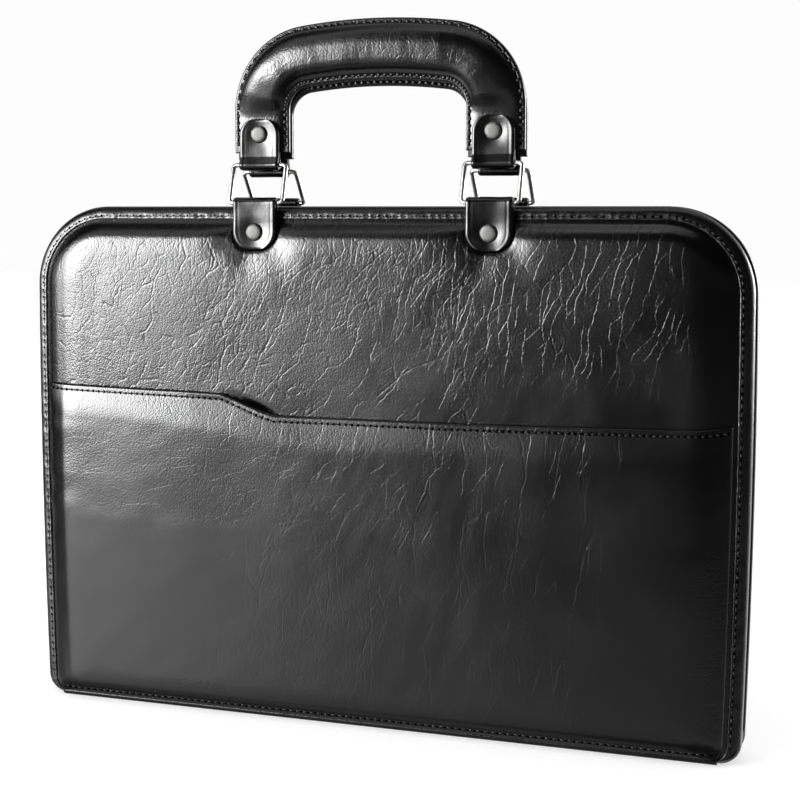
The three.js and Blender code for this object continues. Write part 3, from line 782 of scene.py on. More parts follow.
def fill_ends(bm):
    """Closes the open ends."""
    bmesh.ops.holes_fill(bm, edges=[edge for edge in bm.edges if edge.is_boundary], sides=0)


def band(columns, section, place):
    """A closed skin with its two ends filled."""
    bm = bmesh.new()
    closed_skin(bm, columns, section, place)
    fill_ends(bm)
    return bm


plain_band = band(3, [(0, 0), (1, 0), (1, 1), (0, 1)], lambda u, y, z: Vector((u, y, z)))
print("a square band of 3 has", len(plain_band.faces), "faces")
plain_band.free()

# %% Section of the binding and its puckers
STITCH_PITCH = 4.0
BINDING_STITCH = 5.2
BINDING_SEAM = 12.64
BINDING_COLUMNS = 920
BINDING_SEED = 50
STITCH_DIP = 0.07
DIP_CHANGE = (0.1, 11)
DIP_WIDTH = 1.2
STRIP_WAVE = (0.16, 6)
SHOWN_ROWS = 16
BINDING_SECTION = [
    (6.9, 12.0), (6.9, 12.45), (6.75, 12.72), (6.4, 12.82), (6.0, 12.8), (5.6, 12.74), (5.2, 12.66),
    (4.8, 12.62), (4.2, 12.54), (3.6, 12.42), (3.0, 12.24), (2.4, 11.95), (1.8, 11.5), (1.2, 10.9),
    (0.65, 10.1), (0.2, 9.1), (0.0, 8.0), (0.05, 6.8), (0.3, 5.9), (0.8, 5.5), (1.35, 5.6), (1.6, 6.2),
    (1.6, 9.0), (1.9, 10.0), (3.2, 10.5), (4.6, 11.0), (5.8, 11.4),
]


def binding_pucker(along, inset, seed):
    """The strip dips at each stitch and swells between, a little more or less from place to place."""
    swing = math.cos(2 * math.pi * along / STITCH_PITCH)
    size = STITCH_DIP + unevenness(along, 0, [DIP_CHANGE], seed)
    spread = bump_at(inset - BINDING_STITCH, DIP_WIDTH)
    return -size * swing * spread + unevenness(along, inset * 2, [STRIP_WAVE], seed + 4)


def binding(_, turned):
    """One binding as a closed band round the rim."""
    seed = BINDING_SEED + 9 * turned
    section = [(*row, i < SHOWN_ROWS) for i, row in enumerate(BINDING_SECTION)]

    def place(u, inset, depth, shown):
        along = (2 * u - 1) * RIM
        return rim_point(along, inset, depth + shown * binding_pucker(along, inset, seed))

    return band(BINDING_COLUMNS, section, place)


on_both_faces("folded_binding", binding, "case", LEATHER["edge"], "binding")

# %% [markdown]
# ## Base
# One strip of leather closes the bottom, with a low lip over each panel's lower edge. A tongue of the same
# leather turns up at each end to close the corner under the zip.

# %% Base strip and tongues
BASE_SECTION = [
    (11.4, 0.0), (12.4, 0.25), (13.3, 0.9), (13.9, 1.8), (14.2, 2.7),
    (14.0, 3.25), (13.5, 3.3), (13.2, 2.9), (11.9, 2.1), (10.7, 1.7),
]
BASE_HALF = HALF_WIDTH - BOTTOM_CORNER - 0.3
TONGUE_TOP = 14.0
TONGUE_LAP = 6.0
BASE_WAVE = (0.08, 14)
BASE_SEED = 61
BASE_COLUMNS = 180
TONGUE_COLUMNS = 40
TONGUE_SECTION = [
    (0.6, -4.7), (0.6, 0.0), (0.6, 4.7), (0.8, 5.1), (1.4, 5.3), (2.0, 5.1),
    (2.2, 4.7), (2.2, 0.0), (2.2, -4.7), (2.0, -5.1), (1.4, -5.3), (0.8, -5.1),
]


def base_strip():
    """The floor strip, a closed section run along the width."""

    def place(u, depth, z):
        x = (2 * u - 1) * BASE_HALF
        wave = unevenness(x, 0, [BASE_WAVE], BASE_SEED) if z > 1 else 0.0
        return Vector((x, -depth - math.copysign(wave, depth), z))

    mirrored = [(-depth, z) for depth, z in reversed(BASE_SECTION)]
    return band(BASE_COLUMNS, BASE_SECTION + mirrored, place)


def tongue(bm, side):
    """One end of the base, from under the floor round the corner and up to the end of the zip."""
    start = RIM - BOTTOM_ARC - (TONGUE_TOP - BOTTOM_CORNER)
    run = RIM + TONGUE_LAP - start

    def place(u, inset, depth):
        return rim_point(side * (start + run * u), inset, depth)

    closed_skin(bm, TONGUE_COLUMNS, TONGUE_SECTION, place)


base_mesh = base_strip()
for tongue_side in (-1, 1):
    tongue(base_mesh, tongue_side)
fill_ends(base_mesh)
piece("base_strip", base_mesh, "case", LEATHER["edge"], ["base"])

# %% [markdown]
# ## Zip
# Two woven tapes come out from under the bindings and carry a nylon coil. Each tooth of the closed chain is
# one turn of the coil, seen as a small rounded bead that reaches across from its own side. Hundreds of
# them are needed, so each has only a few faces.

# %% Small balls
def ball(around, up, material_index):
    """A small ball as a mesh to copy from."""
    bm = bmesh.new()
    bmesh.ops.create_uvsphere(bm, u_segments=around, v_segments=up, radius=1.0)
    for face in bm.faces:
        face.material_index = material_index
    return to_mesh(bm, "ball")


def add_balls(bm, model, places):
    """Adds a copy of a ball at each place, and lets the model go."""
    for place in places:
        one = model.copy()
        one.transform(place)
        bm.from_mesh(one)
        bpy.data.meshes.remove(one)
    bpy.data.meshes.remove(model)


COIL_BALL = ball(6, 4, 0)
print("a bead of the coil has", len(COIL_BALL.polygons), "faces")

# %% Tapes and coil
TAPE_SECTION = [
    (1.9, 2.6), (1.9, 6.8), (2.5, 6.95), (3.1, 6.8), (3.7, 2.6), (3.7, 0.1), (3.3, 0.1), (3.1, 2.2),
]
TAPE_COLUMNS = 300
ZIP_LOW = 14.3
COIL_LOW_LEFT = 24.3
ZIP_END = RIM - BOTTOM_ARC - (ZIP_LOW - BOTTOM_CORNER)
COIL_LEFT = RIM - BOTTOM_ARC - (COIL_LOW_LEFT - BOTTOM_CORNER)
COIL_PITCH = 1.6
COIL_INSET = 2.4
COIL_REACH = 0.45
COIL_BEAD = Matrix.Diagonal((0.72, 1.5, 1.0, 1.0))


def tape(*_):
    """One zip tape, a thin closed band under the edge of its binding. Both are alike."""

    def place(u, inset, depth):
        return rim_point((2 * u - 1) * ZIP_END, inset, depth)

    return band(TAPE_COLUMNS, TAPE_SECTION, place)


def coil():
    """The closed chain as beads that come alternately from the front and from the back tape."""
    bm = bmesh.new()
    places = []
    for i in range(int((ZIP_END + COIL_LEFT) / COIL_PITCH)):
        along = -COIL_LEFT + (i + 0.5) * COIL_PITCH
        reach = COIL_REACH if i % 2 else -COIL_REACH
        places.append(place_on(lambda t: rim_point(t, COIL_INSET, reach), along, 0.5) @ COIL_BEAD)
    add_balls(bm, COIL_BALL, places)
    return bm


on_both_faces("woven_tape", tape, "case", TAPE, "zip_tape")
piece("zip_coil", coil(), "case", COIL, ["zip_chain"])

# %% Slider
SLIDER_LOW = 14.6
SLIDER_TOP = 24.0
SLIDER_ROUND = 0.42
SLIDER_BOXES = [
    (-1.2, 1.4, 4.2, SLIDER_LOW, SLIDER_TOP),
    (1.2, 4.0, 1.9, SLIDER_LOW, SLIDER_TOP),
    (-2.6, -1.0, 1.2, 18.0, 22.0),
    (-2.8, -1.7, 2.6, 2.5, 21.0),
]


def slider():
    """The slider's plate, its core between the tapes, the lug, and the pull that hangs from it."""
    bm = bmesh.new()
    edge = bowed(-HALF_WIDTH, (SLIDER_LOW + SLIDER_TOP) / 2)
    for near, far, half_depth, low, top in SLIDER_BOXES:
        middle = Matrix.Translation((edge + (near + far) / 2, 0, (low + top) / 2))
        size = Matrix.Diagonal((far - near, 2 * half_depth, top - low, 1))
        made = bmesh.ops.create_cube(bm, size=1.0, matrix=middle @ size)
        edges = list({e for vertex in made["verts"] for e in vertex.link_edges})
        bmesh.ops.bevel(
            bm, geom=edges, offset=SLIDER_ROUND, offset_type="OFFSET", affect="EDGES", segments=3,
            profile=0.5, material=-1,
        )
    return bm


piece("zip_slider_cast", slider(), "case", SLIDER_NICKEL, ["zip_slider"])

# %% [markdown]
# ## Handle straps
# Each ring is held by two doubled straps: one riveted to the panel, one to the handle. A strap is a single
# band that comes up the front, turns round the wire and goes down behind. Its edges are turned in and
# creased with a hot iron 2.7 mm from each side, which leaves the rolled edge that catches the light. The
# rivet pulls the front into a shallow dish.

# %% Path of a strap
LOOP_OUTSIDE = 2.9
LOOP_STEPS = 14
LOWER_STRAP = {
    "width": 24.0, "corner": 9.5, "rivet": 262.5, "loop": (15.6, 277.7),
    "front": [(18.9, 253.5), (18.5, 267.4)], "back": [(15.3, 267.4), (15.7, 253.5)],
}
UPPER_STRAP = {
    "width": 22.0, "corner": 8.5, "rivet": 15.9, "loop": (6.4, 0.0),
    "front": [(8.0, 23.9), (8.0, 4.4)], "back": [(4.8, 4.4), (4.8, 23.9)],
}
STRAPS = {"lower": LOWER_STRAP, "upper": UPPER_STRAP}


def strap_path(shape):
    """Points (depth, height) of the strap's outer side, from its front end round the loop to its back."""
    depth, height = shape["loop"]
    way = 1 if height > shape["rivet"] else -1
    turn = [math.pi * i / LOOP_STEPS for i in range(LOOP_STEPS + 1)]
    bend = [
        (depth + LOOP_OUTSIDE * math.cos(a), height + way * LOOP_OUTSIDE * math.sin(a)) for a in turn
    ]
    return [Vector(point) for point in [*shape["front"], *bend, *shape["back"]]]


def spaced(points, gap):
    """The same line with points about gap apart."""
    line = [points[0]]
    for start, end in zip(points, points[1:]):
        count = max(1, round((end - start).length / gap))
        line += [start.lerp(end, (i + 1) / count) for i in range(count)]
    return line


strap_steps = {name: len(spaced(strap_path(one), 1)) - 1 for name, one in STRAPS.items()}
print("steps of about 1 mm along a strap:", strap_steps)

# %% A doubled strap
STRAP_THICK = 1.5
STRAP_CREASE = 2.7
STRAP_DISH = 0.4
EDGE_ROUND = 1.3
EDGE_DROP = 0.5
CREASE_DROP = 0.06
CREASE_WIDTH = 0.45
CREASE_FROM_END = (3, 6)
END_GAP = 0.02
RIVET_DIMPLE = (0.75, 6.0)
STRAP_WAVE = (0.16, 8)


def strap_half(shape, height):
    """Half the strap's width at a height, less where its end is rounded."""
    end = abs(height - shape["front"][0][1])
    corner = shape["corner"]
    cut = corner - math.sqrt(max(corner**2 - max(corner - end, 0) ** 2, 0))
    return shape["width"] / 2 - cut


def strap(shape, middle, seed):
    """The strap as a wall of leather, with rolled edges, crease lines and a dimple round its rivet."""
    line = spaced(strap_path(shape), 0.7)
    count = len(line) - 1
    end_height = shape["front"][0][1]

    def place(u, v, thick):
        row = round(v * count)
        here = line[row]
        onward = (line[min(row + 1, count)] - line[max(row - 1, 0)]).normalized()
        way = 1 if shape["loop"][1] > shape["rivet"] else -1
        out = Vector((onward.y, -onward.x)) * way
        half = strap_half(shape, here.y)
        x = (2 * u - 1) * half
        from_end = abs(here.y - end_height) + END_GAP
        edge = min(half - abs(x), from_end)
        roll = EDGE_DROP * max(1 - edge / EDGE_ROUND, 0) ** 2
        crease = CREASE_DROP * bump_at(edge - STRAP_CREASE, CREASE_WIDTH) * step(*CREASE_FROM_END, from_end)
        front = 1 if row < count / 2 else 0
        depth, width = RIVET_DIMPLE
        dimple = depth * front * bump_at(math.hypot(x, here.y - shape["rivet"]), width)
        dish = STRAP_DISH * front * (1 - (2 * u - 1) ** 2)
        wave = unevenness(x, here.y, [STRAP_WAVE], seed)
        lift = (wave - roll - crease - dimple - dish) if thick == 0 else 0.0
        at = here + out * (lift - thick)
        return Vector((middle + x, -at.x, at.y))

    return wall(2 * round(shape["width"]), count - count % 2, place, STRAP_THICK)


half_at_rivet = strap_half(LOWER_STRAP, LOWER_STRAP["rivet"])
print("half width in mm of a lower strap at its rivet:", round(half_at_rivet, 2))

# %% Straps on every leg
STRAP_SEED = 70
HANDLE_BACK = 0.4
HANDLE_TOP = 73.9


def grip_place(face_name, face_turned):
    """Where a face's grip hangs in the case, read off its packed handle."""
    low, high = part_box(f"{face_name}_handle")
    back = -low.y if face_turned else high.y
    return case_place(face_turned) + Vector((0, back / MM + HANDLE_BACK, high.z / MM - HANDLE_TOP))


def hung(bm, place):
    """Moves a piece from its own frame to where it hangs."""
    bmesh.ops.translate(bm, vec=place, verts=bm.verts)
    return bm


def legs():
    """Each leg of each handle: its face, whether that face is turned, its name, its side and its place."""
    for face_name, face_turned in FACES:
        for side, leg_name in ((-1, "left"), (1, "right")):
            yield face_name, face_turned, leg_name, side, side * STRAP_X * (-1 if face_turned else 1)


def levels(face_name, face_turned):
    """The body that carries each level of straps and rivets, and where that level hangs."""
    return [
        ("lower", "case", case_place(face_turned)),
        ("upper", f"{face_name}_grip", grip_place(face_name, face_turned)),
    ]


for face_name, face_turned, leg_name, leg_side, leg_x in legs():
    for level, body, place in levels(face_name, face_turned):
        piece(
            f"{face_name}_{leg_name}_{level}_strap",
            hung(strap(STRAPS[level], leg_x, STRAP_SEED + leg_side + 5 * face_turned), place),
            body, LEATHER["strap"], [f"{face_name}_{leg_name}_{level}_tab"], face_turned,
        )

# %% [markdown]
# ## Rings and rivets
# A ring is round wire bent to a rectangle. It leans in from the strap on the panel to the strap on the
# handle. A rivet cap is pressed from sheet: nearly flat on top, with a rounded shoulder and a thin rim.
# Spinning its profile round the rivet's axis gives that shape directly.

# %% Wire rings
WIRE = 1.2
RING_WIDTH = 29.8
RING_BEND = 2.0
BEND_STEP = 15
WIRE_POINTS = 16
LOWER_LOOP = Vector(LOWER_STRAP["loop"])


def ring(middle, upper_loop):
    """A bent wire ring between the two loops of a leg."""
    upward = upper_loop - LOWER_LOOP
    span = upward.length
    upward = upward.normalized()
    centre = (LOWER_LOOP + upper_loop) / 2
    side = RING_WIDTH / 2 - RING_BEND
    rise = span / 2 - RING_BEND
    corners = [(side, rise, 0), (-side, rise, 90), (-side, -rise, 180), (side, -rise, 270)]
    line = []
    for x, z, start in corners:
        for turn in range(0, 91, BEND_STEP):
            angle = math.radians(start + turn)
            line.append((x + RING_BEND * math.cos(angle), z + RING_BEND * math.sin(angle), angle))
    count = len(line)

    def place(u, v):
        x, z, angle = line[round(u * count) % count]
        round_wire = 2 * math.pi * v
        reach = WIRE * math.cos(round_wire)
        x += reach * math.cos(angle)
        z += reach * math.sin(angle)
        forward = WIRE * math.sin(round_wire)
        depth = centre.x + upward.x * z + upward.y * forward
        height = centre.y + upward.y * z - upward.x * forward
        return Vector((middle + x, -depth, height))

    bm = bmesh.new()
    merge(bm, skin(bm, count, WIRE_POINTS, place))
    return bm


for face_name, face_turned, leg_name, _, leg_x in legs():
    hang = grip_place(face_name, face_turned)
    depth, height = UPPER_STRAP["loop"]
    piece(
        f"{face_name}_{leg_name}_wire_ring",
        ring(leg_x + hang.x, Vector((depth - hang.y, height + hang.z))),
        f"{face_name}_rings", WIRE_NICKEL, [f"{face_name}_{leg_name}_ring"], face_turned,
    )

# %% Rivet caps
SHANK = 1.8
CAP_STEPS = 40
CAP = [
    (0.0, 1.1), (1.8, 1.08), (3.0, 1.02), (3.7, 0.88), (4.15, 0.62),
    (4.42, 0.3), (4.5, 0.0), (4.45, -0.2), (4.1, -0.35), (SHANK, -0.35),
]
RIVETS = {"lower": (18.4, 8.4), "upper": (7.65, 6.2)}


def rivet(middle, seat, height, shank):
    """A cap with its shank, spun round the rivet's axis."""
    bm = bmesh.new()
    profile = [*CAP, (SHANK, -shank), (0.0, -shank)]
    points = [bm.verts.new((middle + radius, -seat - rise, height)) for radius, rise in profile]
    edges = [bm.edges.new(pair) for pair in zip(points, points[1:])]
    bmesh.ops.spin(
        bm, geom=points + edges, cent=(middle, -seat, height), axis=(0, 1, 0), angle=2 * math.pi,
        steps=CAP_STEPS, use_merge=True, use_duplicate=False,
    )
    merge(bm, bm.verts)
    return bm


for face_name, face_turned, leg_name, _, leg_x in legs():
    for level, body, place in levels(face_name, face_turned):
        seat, shank = RIVETS[level]
        piece(
            f"{face_name}_{leg_name}_{level}_rivet_cap",
            hung(rivet(leg_x, seat, STRAPS[level]["rivet"], shank), place),
            body, RIVET_NICKEL, [f"{face_name}_{leg_name}_{level}_rivet"], face_turned,
        )

# %% [markdown]
# ## Handles
# A handle is a padded arch: a round filler under soft leather, sewn to a flat back along both edges. It is
# full along the top, flattens into the legs, and wrinkles across. The stitch line runs in a groove, with a
# thin rolled rim outside it.

# %% The middle line of a handle
HANDLE_HALF = 15.4
HANDLE_EDGE = 3.6
HANDLE_FOOT = 6.4
HANDLE_BEND = 28.0
CROWN_RADIUS = 300.0
CROWN_CENTRE = HANDLE_TOP - HANDLE_HALF - CROWN_RADIUS
BEND_X = STRAP_X - HANDLE_BEND
BEND_REACH = CROWN_RADIUS - HANDLE_BEND
BEND_HEIGHT = CROWN_CENTRE + math.sqrt(BEND_REACH**2 - BEND_X**2)
CROWN_LEAN = math.asin(BEND_X / BEND_REACH)
LEG_RUN = BEND_HEIGHT - HANDLE_FOOT
BEND_RUN = HANDLE_BEND * (math.pi / 2 - CROWN_LEAN)
HANDLE_RUN = LEG_RUN + BEND_RUN + CROWN_RADIUS * CROWN_LEAN


def handle_station(along):
    """Place and outward way of the arch's middle line. along runs from the left foot to the right one."""
    side = 1 if along > HANDLE_RUN else -1
    run = HANDLE_RUN - abs(along - HANDLE_RUN)
    if run < LEG_RUN:
        x, z, angle = STRAP_X, HANDLE_FOOT + run, 0.0
    elif run < LEG_RUN + BEND_RUN:
        angle = (run - LEG_RUN) / HANDLE_BEND
        x = BEND_X + HANDLE_BEND * math.cos(angle)
        z = BEND_HEIGHT + HANDLE_BEND * math.sin(angle)
    else:
        angle = math.pi / 2 - CROWN_LEAN + (run - LEG_RUN - BEND_RUN) / CROWN_RADIUS
        x = CROWN_RADIUS * math.cos(angle)
        z = CROWN_CENTRE + CROWN_RADIUS * math.sin(angle)
    return Vector((side * x, z)), Vector((side * math.cos(angle), math.sin(angle)))


print("handle length in mm:", round(2 * HANDLE_RUN, 1))

# %% The padded face of a handle
CROWN = smooth_curve([(0, 3.7), (4, 4.4), (18, 4.5), (30, 8.8), (46, 11.2), (78, 11.8), (130, 11.8)])
LIFT = smooth_curve(
    [
        (0, 1.0), (4, 0.98), (6.5, 0.92), (9, 0.77), (11, 0.5),
        (12.5, 0.16), (13.3, 0.0), (14.2, 0.03), (14.8, 0.02), (15.4, -0.06),
    ]
)
HANDLE_SEED = 90
HANDLE_WRINKLES = [(0.25, 16, 2), (0.06, 5, 3)]
WRINKLES_FROM = (24, 40)
PAD_EDGE = (12.4, 9)
CREST = -2.6
CREST_REACH = 12


def handle_face(along, across, seed):
    """How far out the leather of the handle stands. The padding's crest lies a little inside the arch."""
    run = HANDLE_RUN - abs(along - HANDLE_RUN)
    shifted = across - CREST * max(1 - abs(across) / CREST_REACH, 0)
    lift = LIFT(abs(shifted))
    loose = step(*PAD_EDGE, abs(across)) * step(*WRINKLES_FROM, run)
    wave = 0.0
    for i, (height, size, stretch) in enumerate(HANDLE_WRINKLES):
        wave += height * ripple(along, across / stretch, size, seed + 2 * i)
    return HANDLE_EDGE + lift * (CROWN(run) - HANDLE_EDGE) + loose * wave


print("handle face in mm at its top:", round(handle_face(HANDLE_RUN, 0, HANDLE_SEED), 2))

# %% Build both handles
HANDLE_COLUMNS = 330
FRONT_POINTS = 48
FRONT_SHARE = 0.985
EDGE_POINTS = [(1.0, 0.72), (1.0, 0.28)]
BACK_POINTS = [(0.97, 0.0), (0.5, 0.0), (0.0, 0.0), (-0.5, 0.0), (-0.97, 0.0)]
HANDLE_SECTION = (
    [(-FRONT_SHARE + 2 * FRONT_SHARE * i / FRONT_POINTS, 1.0) for i in range(FRONT_POINTS + 1)]
    + EDGE_POINTS
    + BACK_POINTS
    + [(-across, share) for across, share in reversed(EDGE_POINTS)]
)


def handle_point(along, across, share, seed):
    """A point of the handle: across from inner to outer edge, share from the flat back to the face."""
    middle, out = handle_station(along)
    depth = HANDLE_BACK + share * (handle_face(along, across, seed) - HANDLE_BACK)
    at = middle + out * across
    return Vector((at.x, -depth, at.y))


def handle(face, turned):
    """A handle as a closed band from foot to foot, put where it hangs."""
    seed = HANDLE_SEED + 6 * turned

    def place(u, across, share):
        return handle_point(2 * HANDLE_RUN * u, across * HANDLE_HALF, share, seed)

    return hung(band(HANDLE_COLUMNS, HANDLE_SECTION, place), grip_place(face, turned))


for padded_handle in on_both_faces(
    "padded_handle", handle, "{}_grip", LEATHER["handle"], "handle"
):
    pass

# %% [markdown]
# ## Stitches
# Each seam is a row of separate stitches. One stitch is a short thread that dives into the leather at both
# ends, so a stretched ball is enough for it. The rows follow the same curves as the pieces they hold.

# %% Rows of stitches
# The needle hole after each stitch is a flat black disc of painted shade, not a recess.
HOLE_SHADE_DISC = Matrix.Diagonal((0.85, 0.16, 0.85, 1.0))
HEM_PITCH = 3.3
HANDLE_PITCH = 3.6
SEAM_LIFT = 0.05
HEM_ENDS = 184.5
LOW_ENDS = 181.0
RIM_ENDS = RIM - 16
HANDLE_END = 3.0
HANDLE_STITCH = 13.3
HANDLE_SEAMS = [(-HANDLE_STITCH, 1.0, 1.0), (HANDLE_STITCH, 1.0, 1.0), (-HANDLE_STITCH, 0.0, 0.45)]


def stitch_row(places, length, width, height, pitch):
    """Stitches at places, each a matrix whose X runs along the seam and Y out of the leather."""
    thread = Matrix.Diagonal((length / 2, height, width / 2, 1.0))
    # Half a pitch on from each stitch lies the disc of painted shade for its needle hole.
    shade_disc = Matrix.Translation((pitch / 2, 0, 0)) @ HOLE_SHADE_DISC
    bm = bmesh.new()
    add_balls(bm, ball(6, 6, 0), [place @ thread for place in places])
    add_balls(bm, ball(6, 4, 1), [place @ shade_disc for place in places])
    return bm


def seam_between(point, start, end, pitch):
    """Stitch places along point(t), a seam that faces the front."""
    count = int(abs(end - start) / pitch)
    return [place_on(point, start + (end - start) * (i + 0.5) / count, 0.4) for i in range(count)]


def pocket_seam(x, z):
    """A point just above the pocket's leather."""
    return Vector((bowed(x, z), -pocket_face(x, z) - SEAM_LIFT, z))


def hem_seam(x):
    return pocket_seam(x, HEM(x) - HEM_STITCH)


def low_seam(x):
    return pocket_seam(x, LOW_STITCH)


def binding_seam(along):
    return rim_point(along, BINDING_STITCH, BINDING_SEAM)


def handle_seams():
    """Stitch places along both edges of a handle's face and, lower, along the inner edge of its back."""
    places = []
    for across, share, rise in HANDLE_SEAMS:
        pressed = Matrix.Diagonal((1.0, rise, 1.0, 1.0))

        def seam(along):
            return handle_point(along, across, share, HANDLE_SEED)

        row = seam_between(seam, HANDLE_END, 2 * HANDLE_RUN - HANDLE_END, HANDLE_PITCH)
        places += [place @ pressed for place in row]
    return places


print("handle stitches:", len(handle_seams()))

# %% Sew every seam
def sewn(name, places, size, pitch, body, turned=False, hang=Vector()):
    """A row of stitches as a piece. Size is the length, width and height of one stitch."""
    row = hung(stitch_row(places, *size, pitch), hang)
    # The second finish is the painted shade of the needle holes.
    piece(name, row, body, THREAD, turned=turned).data.materials.append(PAINTED_HOLE_SHADE)


hem_places = seam_between(hem_seam, -HEM_ENDS, HEM_ENDS, HEM_PITCH)
low_places = seam_between(low_seam, -LOW_ENDS, LOW_ENDS, STITCH_PITCH)
sewn("pocket_hem_stitches", hem_places, (2.0, 0.9, 0.3), HEM_PITCH, "case")
sewn("pocket_bottom_stitches", low_places, (2.6, 0.8, 0.3), STITCH_PITCH, "case")
for face_name, face_turned in FACES:
    rim_places = seam_between(binding_seam, -RIM_ENDS, RIM_ENDS, STITCH_PITCH)
    sewn(
        f"{face_name}_binding_stitches", rim_places, (2.7, 0.7, 0.24), STITCH_PITCH, "case",
        face_turned,
    )
    sewn(
        f"{face_name}_handle_stitches", handle_seams(), (2.8, 2.1, 0.8), HANDLE_PITCH, f"{face_name}_grip",
        face_turned, grip_place(face_name, face_turned),
    )

# %% [markdown]
# ## Studio
# The case stands on a white sweep. Two soft lamps light the floor and the flat colour of the pieces, and
# neither shows in the leather. What the leather mirrors is the room: a low sheen that is bright at the front
# left and dies away to the right, with a weaker twin behind, a faint pale ground and a faint pale ceiling.
# The rest of the room is dark, so the leather stays black.

# %% Floor
FLOOR_GLOW = 0.6
FLOOR_HALF = 6.0
FLOOR_SPOTS = 400
FLOOR_ROUGHNESS = (0.65, 0.75)


def studio_floor():
    """A wide pale floor. It glows a little to the eye alone, and the leather doesn't mirror it."""
    material, tree, shader, place = new_finish("white_sweep", "#c8c8c8", 0.7)
    rough = ramp(tree, noise_at(tree, place, FLOOR_SPOTS, 2.0), 0.0, 1.0, *FLOOR_ROUGHNESS, "LINEAR")
    tree.links.new(rough, shader.inputs["Roughness"])
    seen = add_node(tree, "ShaderNodeLightPath", {}).outputs["Is Camera Ray"]
    tree.links.new(maths(tree, "MULTIPLY", seen, FLOOR_GLOW), shader.inputs["Emission Strength"])
    shader.inputs["Emission Color"].default_value = linear("#ffffff")
    bm = bmesh.new()
    bmesh.ops.create_grid(bm, x_segments=2, y_segments=2, size=FLOOR_HALF)
    floor = add_object("studio_floor", to_mesh(bm, "studio_floor"))
    floor.data.materials.append(material)
    floor.visible_glossy = False
    print("floor:", floor.name)


studio_floor()

# %% World
DIFFUSE_FILL = 0.6
SHEEN_FROM = (math.radians(7), math.log(0.05))
SHEEN_TO = (math.radians(31), math.log(27.0))
SHEEN_SHARES = [
    ("azimuth", math.radians(38), math.radians(76), 1.0, 0.04),
    ("z", 0.14, 0.42, 1.0, 0.03),
    ("y", -0.05, 0.05, 1.0, 0.5),
    ("z", 0.0, 0.1, 1.0, 1.45),
    ("z", -0.5, -0.32, 0.15, 1.0),
]
LOW_SHARES = [
    ("azimuth", math.radians(12), math.radians(34), 0.58, 0.1),
    ("azimuth", math.radians(2), math.radians(12), 0.45, 1.0),
]
LOW_FADE = (-0.13, -0.02)
GROUND_SHARES = [("z", -0.5, -0.1, 0.55, 0.0), ("z", -0.75, -0.45, 0.15, 1.0)]
CEILING_SHARES = [("z", 0.9, 0.98, 0.0, 0.7)]
BACK_SHARES = [("y", 0.1, 0.6, 0.0, 0.5)]


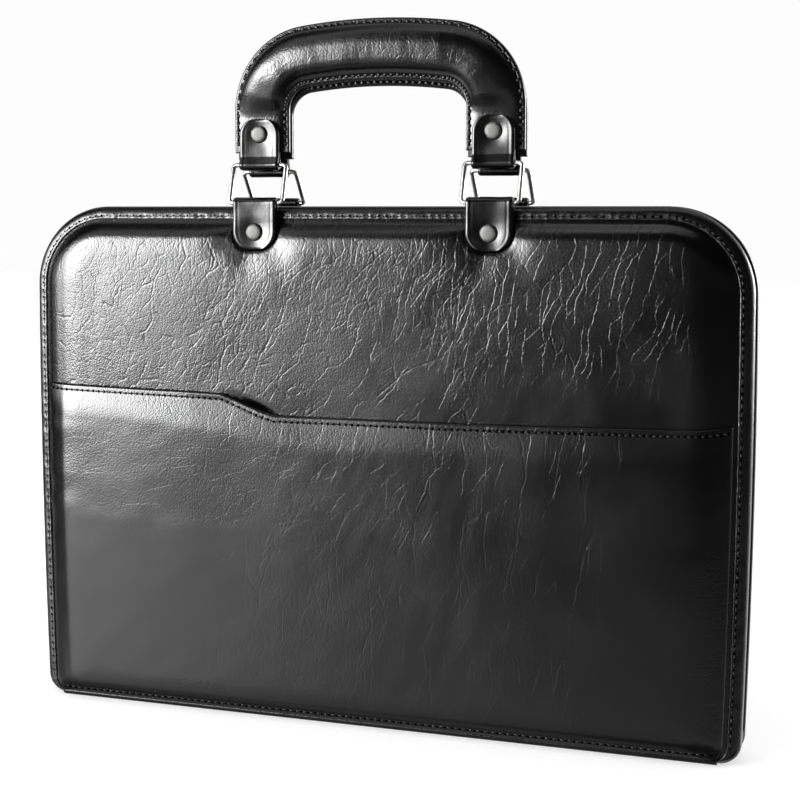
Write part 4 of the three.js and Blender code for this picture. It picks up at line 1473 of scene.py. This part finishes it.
def studio_world():
    """The room that shiny pieces mirror. Its tables are rows of a value, its range and what that gives."""
    world = bpy.data.worlds.new("studio")
    world.use_nodes = True
    tree = world.node_tree
    direction = tree.nodes.new("ShaderNodeTexCoord").outputs["Generated"]
    x, y, z = add_node(tree, "ShaderNodeSeparateXYZ", {"Vector": direction}).outputs
    frontward = maths(tree, "MULTIPLY", y, -1.0)
    sideways = maths(tree, "MULTIPLY", maths(tree, "MULTIPLY", x, -1.0), maths(tree, "SIGN", frontward))
    azimuth = maths(tree, "ARCTAN2", sideways, maths(tree, "ABSOLUTE", frontward))
    values = {"azimuth": azimuth, "y": y, "z": z}

    def product(rows):
        shares = [ramp(tree, values[name], *row) for name, *row in rows]
        level = shares[0]
        for share in shares[1:]:
            level = maths(tree, "MULTIPLY", level, share)
        return level

    (start, low_power), (end, high_power) = SHEEN_FROM, SHEEN_TO
    sheen = maths(tree, "EXPONENT", ramp(tree, azimuth, start, end, low_power, high_power, "LINEAR"))
    sheen = maths(tree, "MULTIPLY", sheen, product(SHEEN_SHARES))
    rise = ramp(tree, z, *LOW_FADE)
    below = maths(tree, "SUBTRACT", 1.0, rise)
    sheen = maths(tree, "MULTIPLY", sheen, maths(tree, "MULTIPLY_ADD", product(LOW_SHARES), below, rise))
    room = sheen
    for rows in (GROUND_SHARES, CEILING_SHARES, BACK_SHARES):
        room = maths(tree, "ADD", room, product(rows))
    paths = tree.nodes.new("ShaderNodeLightPath").outputs
    mirrored = maths(tree, "MULTIPLY", paths["Is Glossy Ray"], room)
    level = maths(tree, "MULTIPLY_ADD", paths["Is Diffuse Ray"], DIFFUSE_FILL, mirrored)
    level = maths(tree, "MAXIMUM", level, paths["Is Camera Ray"])
    tree.links.new(level, tree.nodes["Background"].inputs["Strength"])
    tree.nodes["Background"].inputs["Color"].default_value = linear("#fdfdfd")
    bpy.context.scene.world = world


studio_world()
bpy.context.scene.view_settings.view_transform = "Standard"

# %% Lights
AIM = Vector((0, 0, 0.19))
LIGHTS = [
    ("key_softbox", -46, 35, 1.6, (1.0, 0.8), 4.0),
    ("top_softbox", 0, 82, 1.5, (1.5, 1.3), 1.2),
]


def softbox(name, azimuth, elevation, distance, size, brightness):
    """A soft light aimed at the case. Azimuth is to the right of the front, brightness is its radiance."""
    a, e = math.radians(azimuth), math.radians(elevation)
    away = Vector((math.sin(a) * math.cos(e), -math.cos(a) * math.cos(e), math.sin(e)))
    lamp = bpy.data.lights.new(name, "AREA")
    lamp.shape = "RECTANGLE"
    lamp.size, lamp.size_y = size
    lamp.energy = brightness * math.pi * size[0] * size[1]
    made = add_object(name, lamp)
    made.location = AIM + away * distance
    made.rotation_mode = "QUATERNION"
    made.rotation_quaternion = away.to_track_quat("Z", "Y")
    made.visible_glossy = False


for light in LIGHTS:
    softbox(*light)
print("lights:", [light[0] for light in LIGHTS])

# %% Camera
CAMERA_AT = Vector((0.2702, -0.7702, 0.2703))
CAMERA_AIM = Vector((0.0174, -0.012, 0.1765))
CAMERA_ROLL = math.radians(0.1)
camera_data = bpy.data.cameras.new("camera")
camera_data.sensor_width = 36.0
camera_data.lens = 70.0
camera = add_object("camera", camera_data)
camera.location = CAMERA_AT
camera.rotation_mode = "QUATERNION"
looking = (CAMERA_AIM - CAMERA_AT).to_track_quat("-Z", "Y")
camera.rotation_quaternion = looking @ Matrix.Rotation(CAMERA_ROLL, 3, "Z").to_quaternion()
bpy.context.scene.camera = camera
print("camera", tuple(round(c, 3) for c in camera.location))
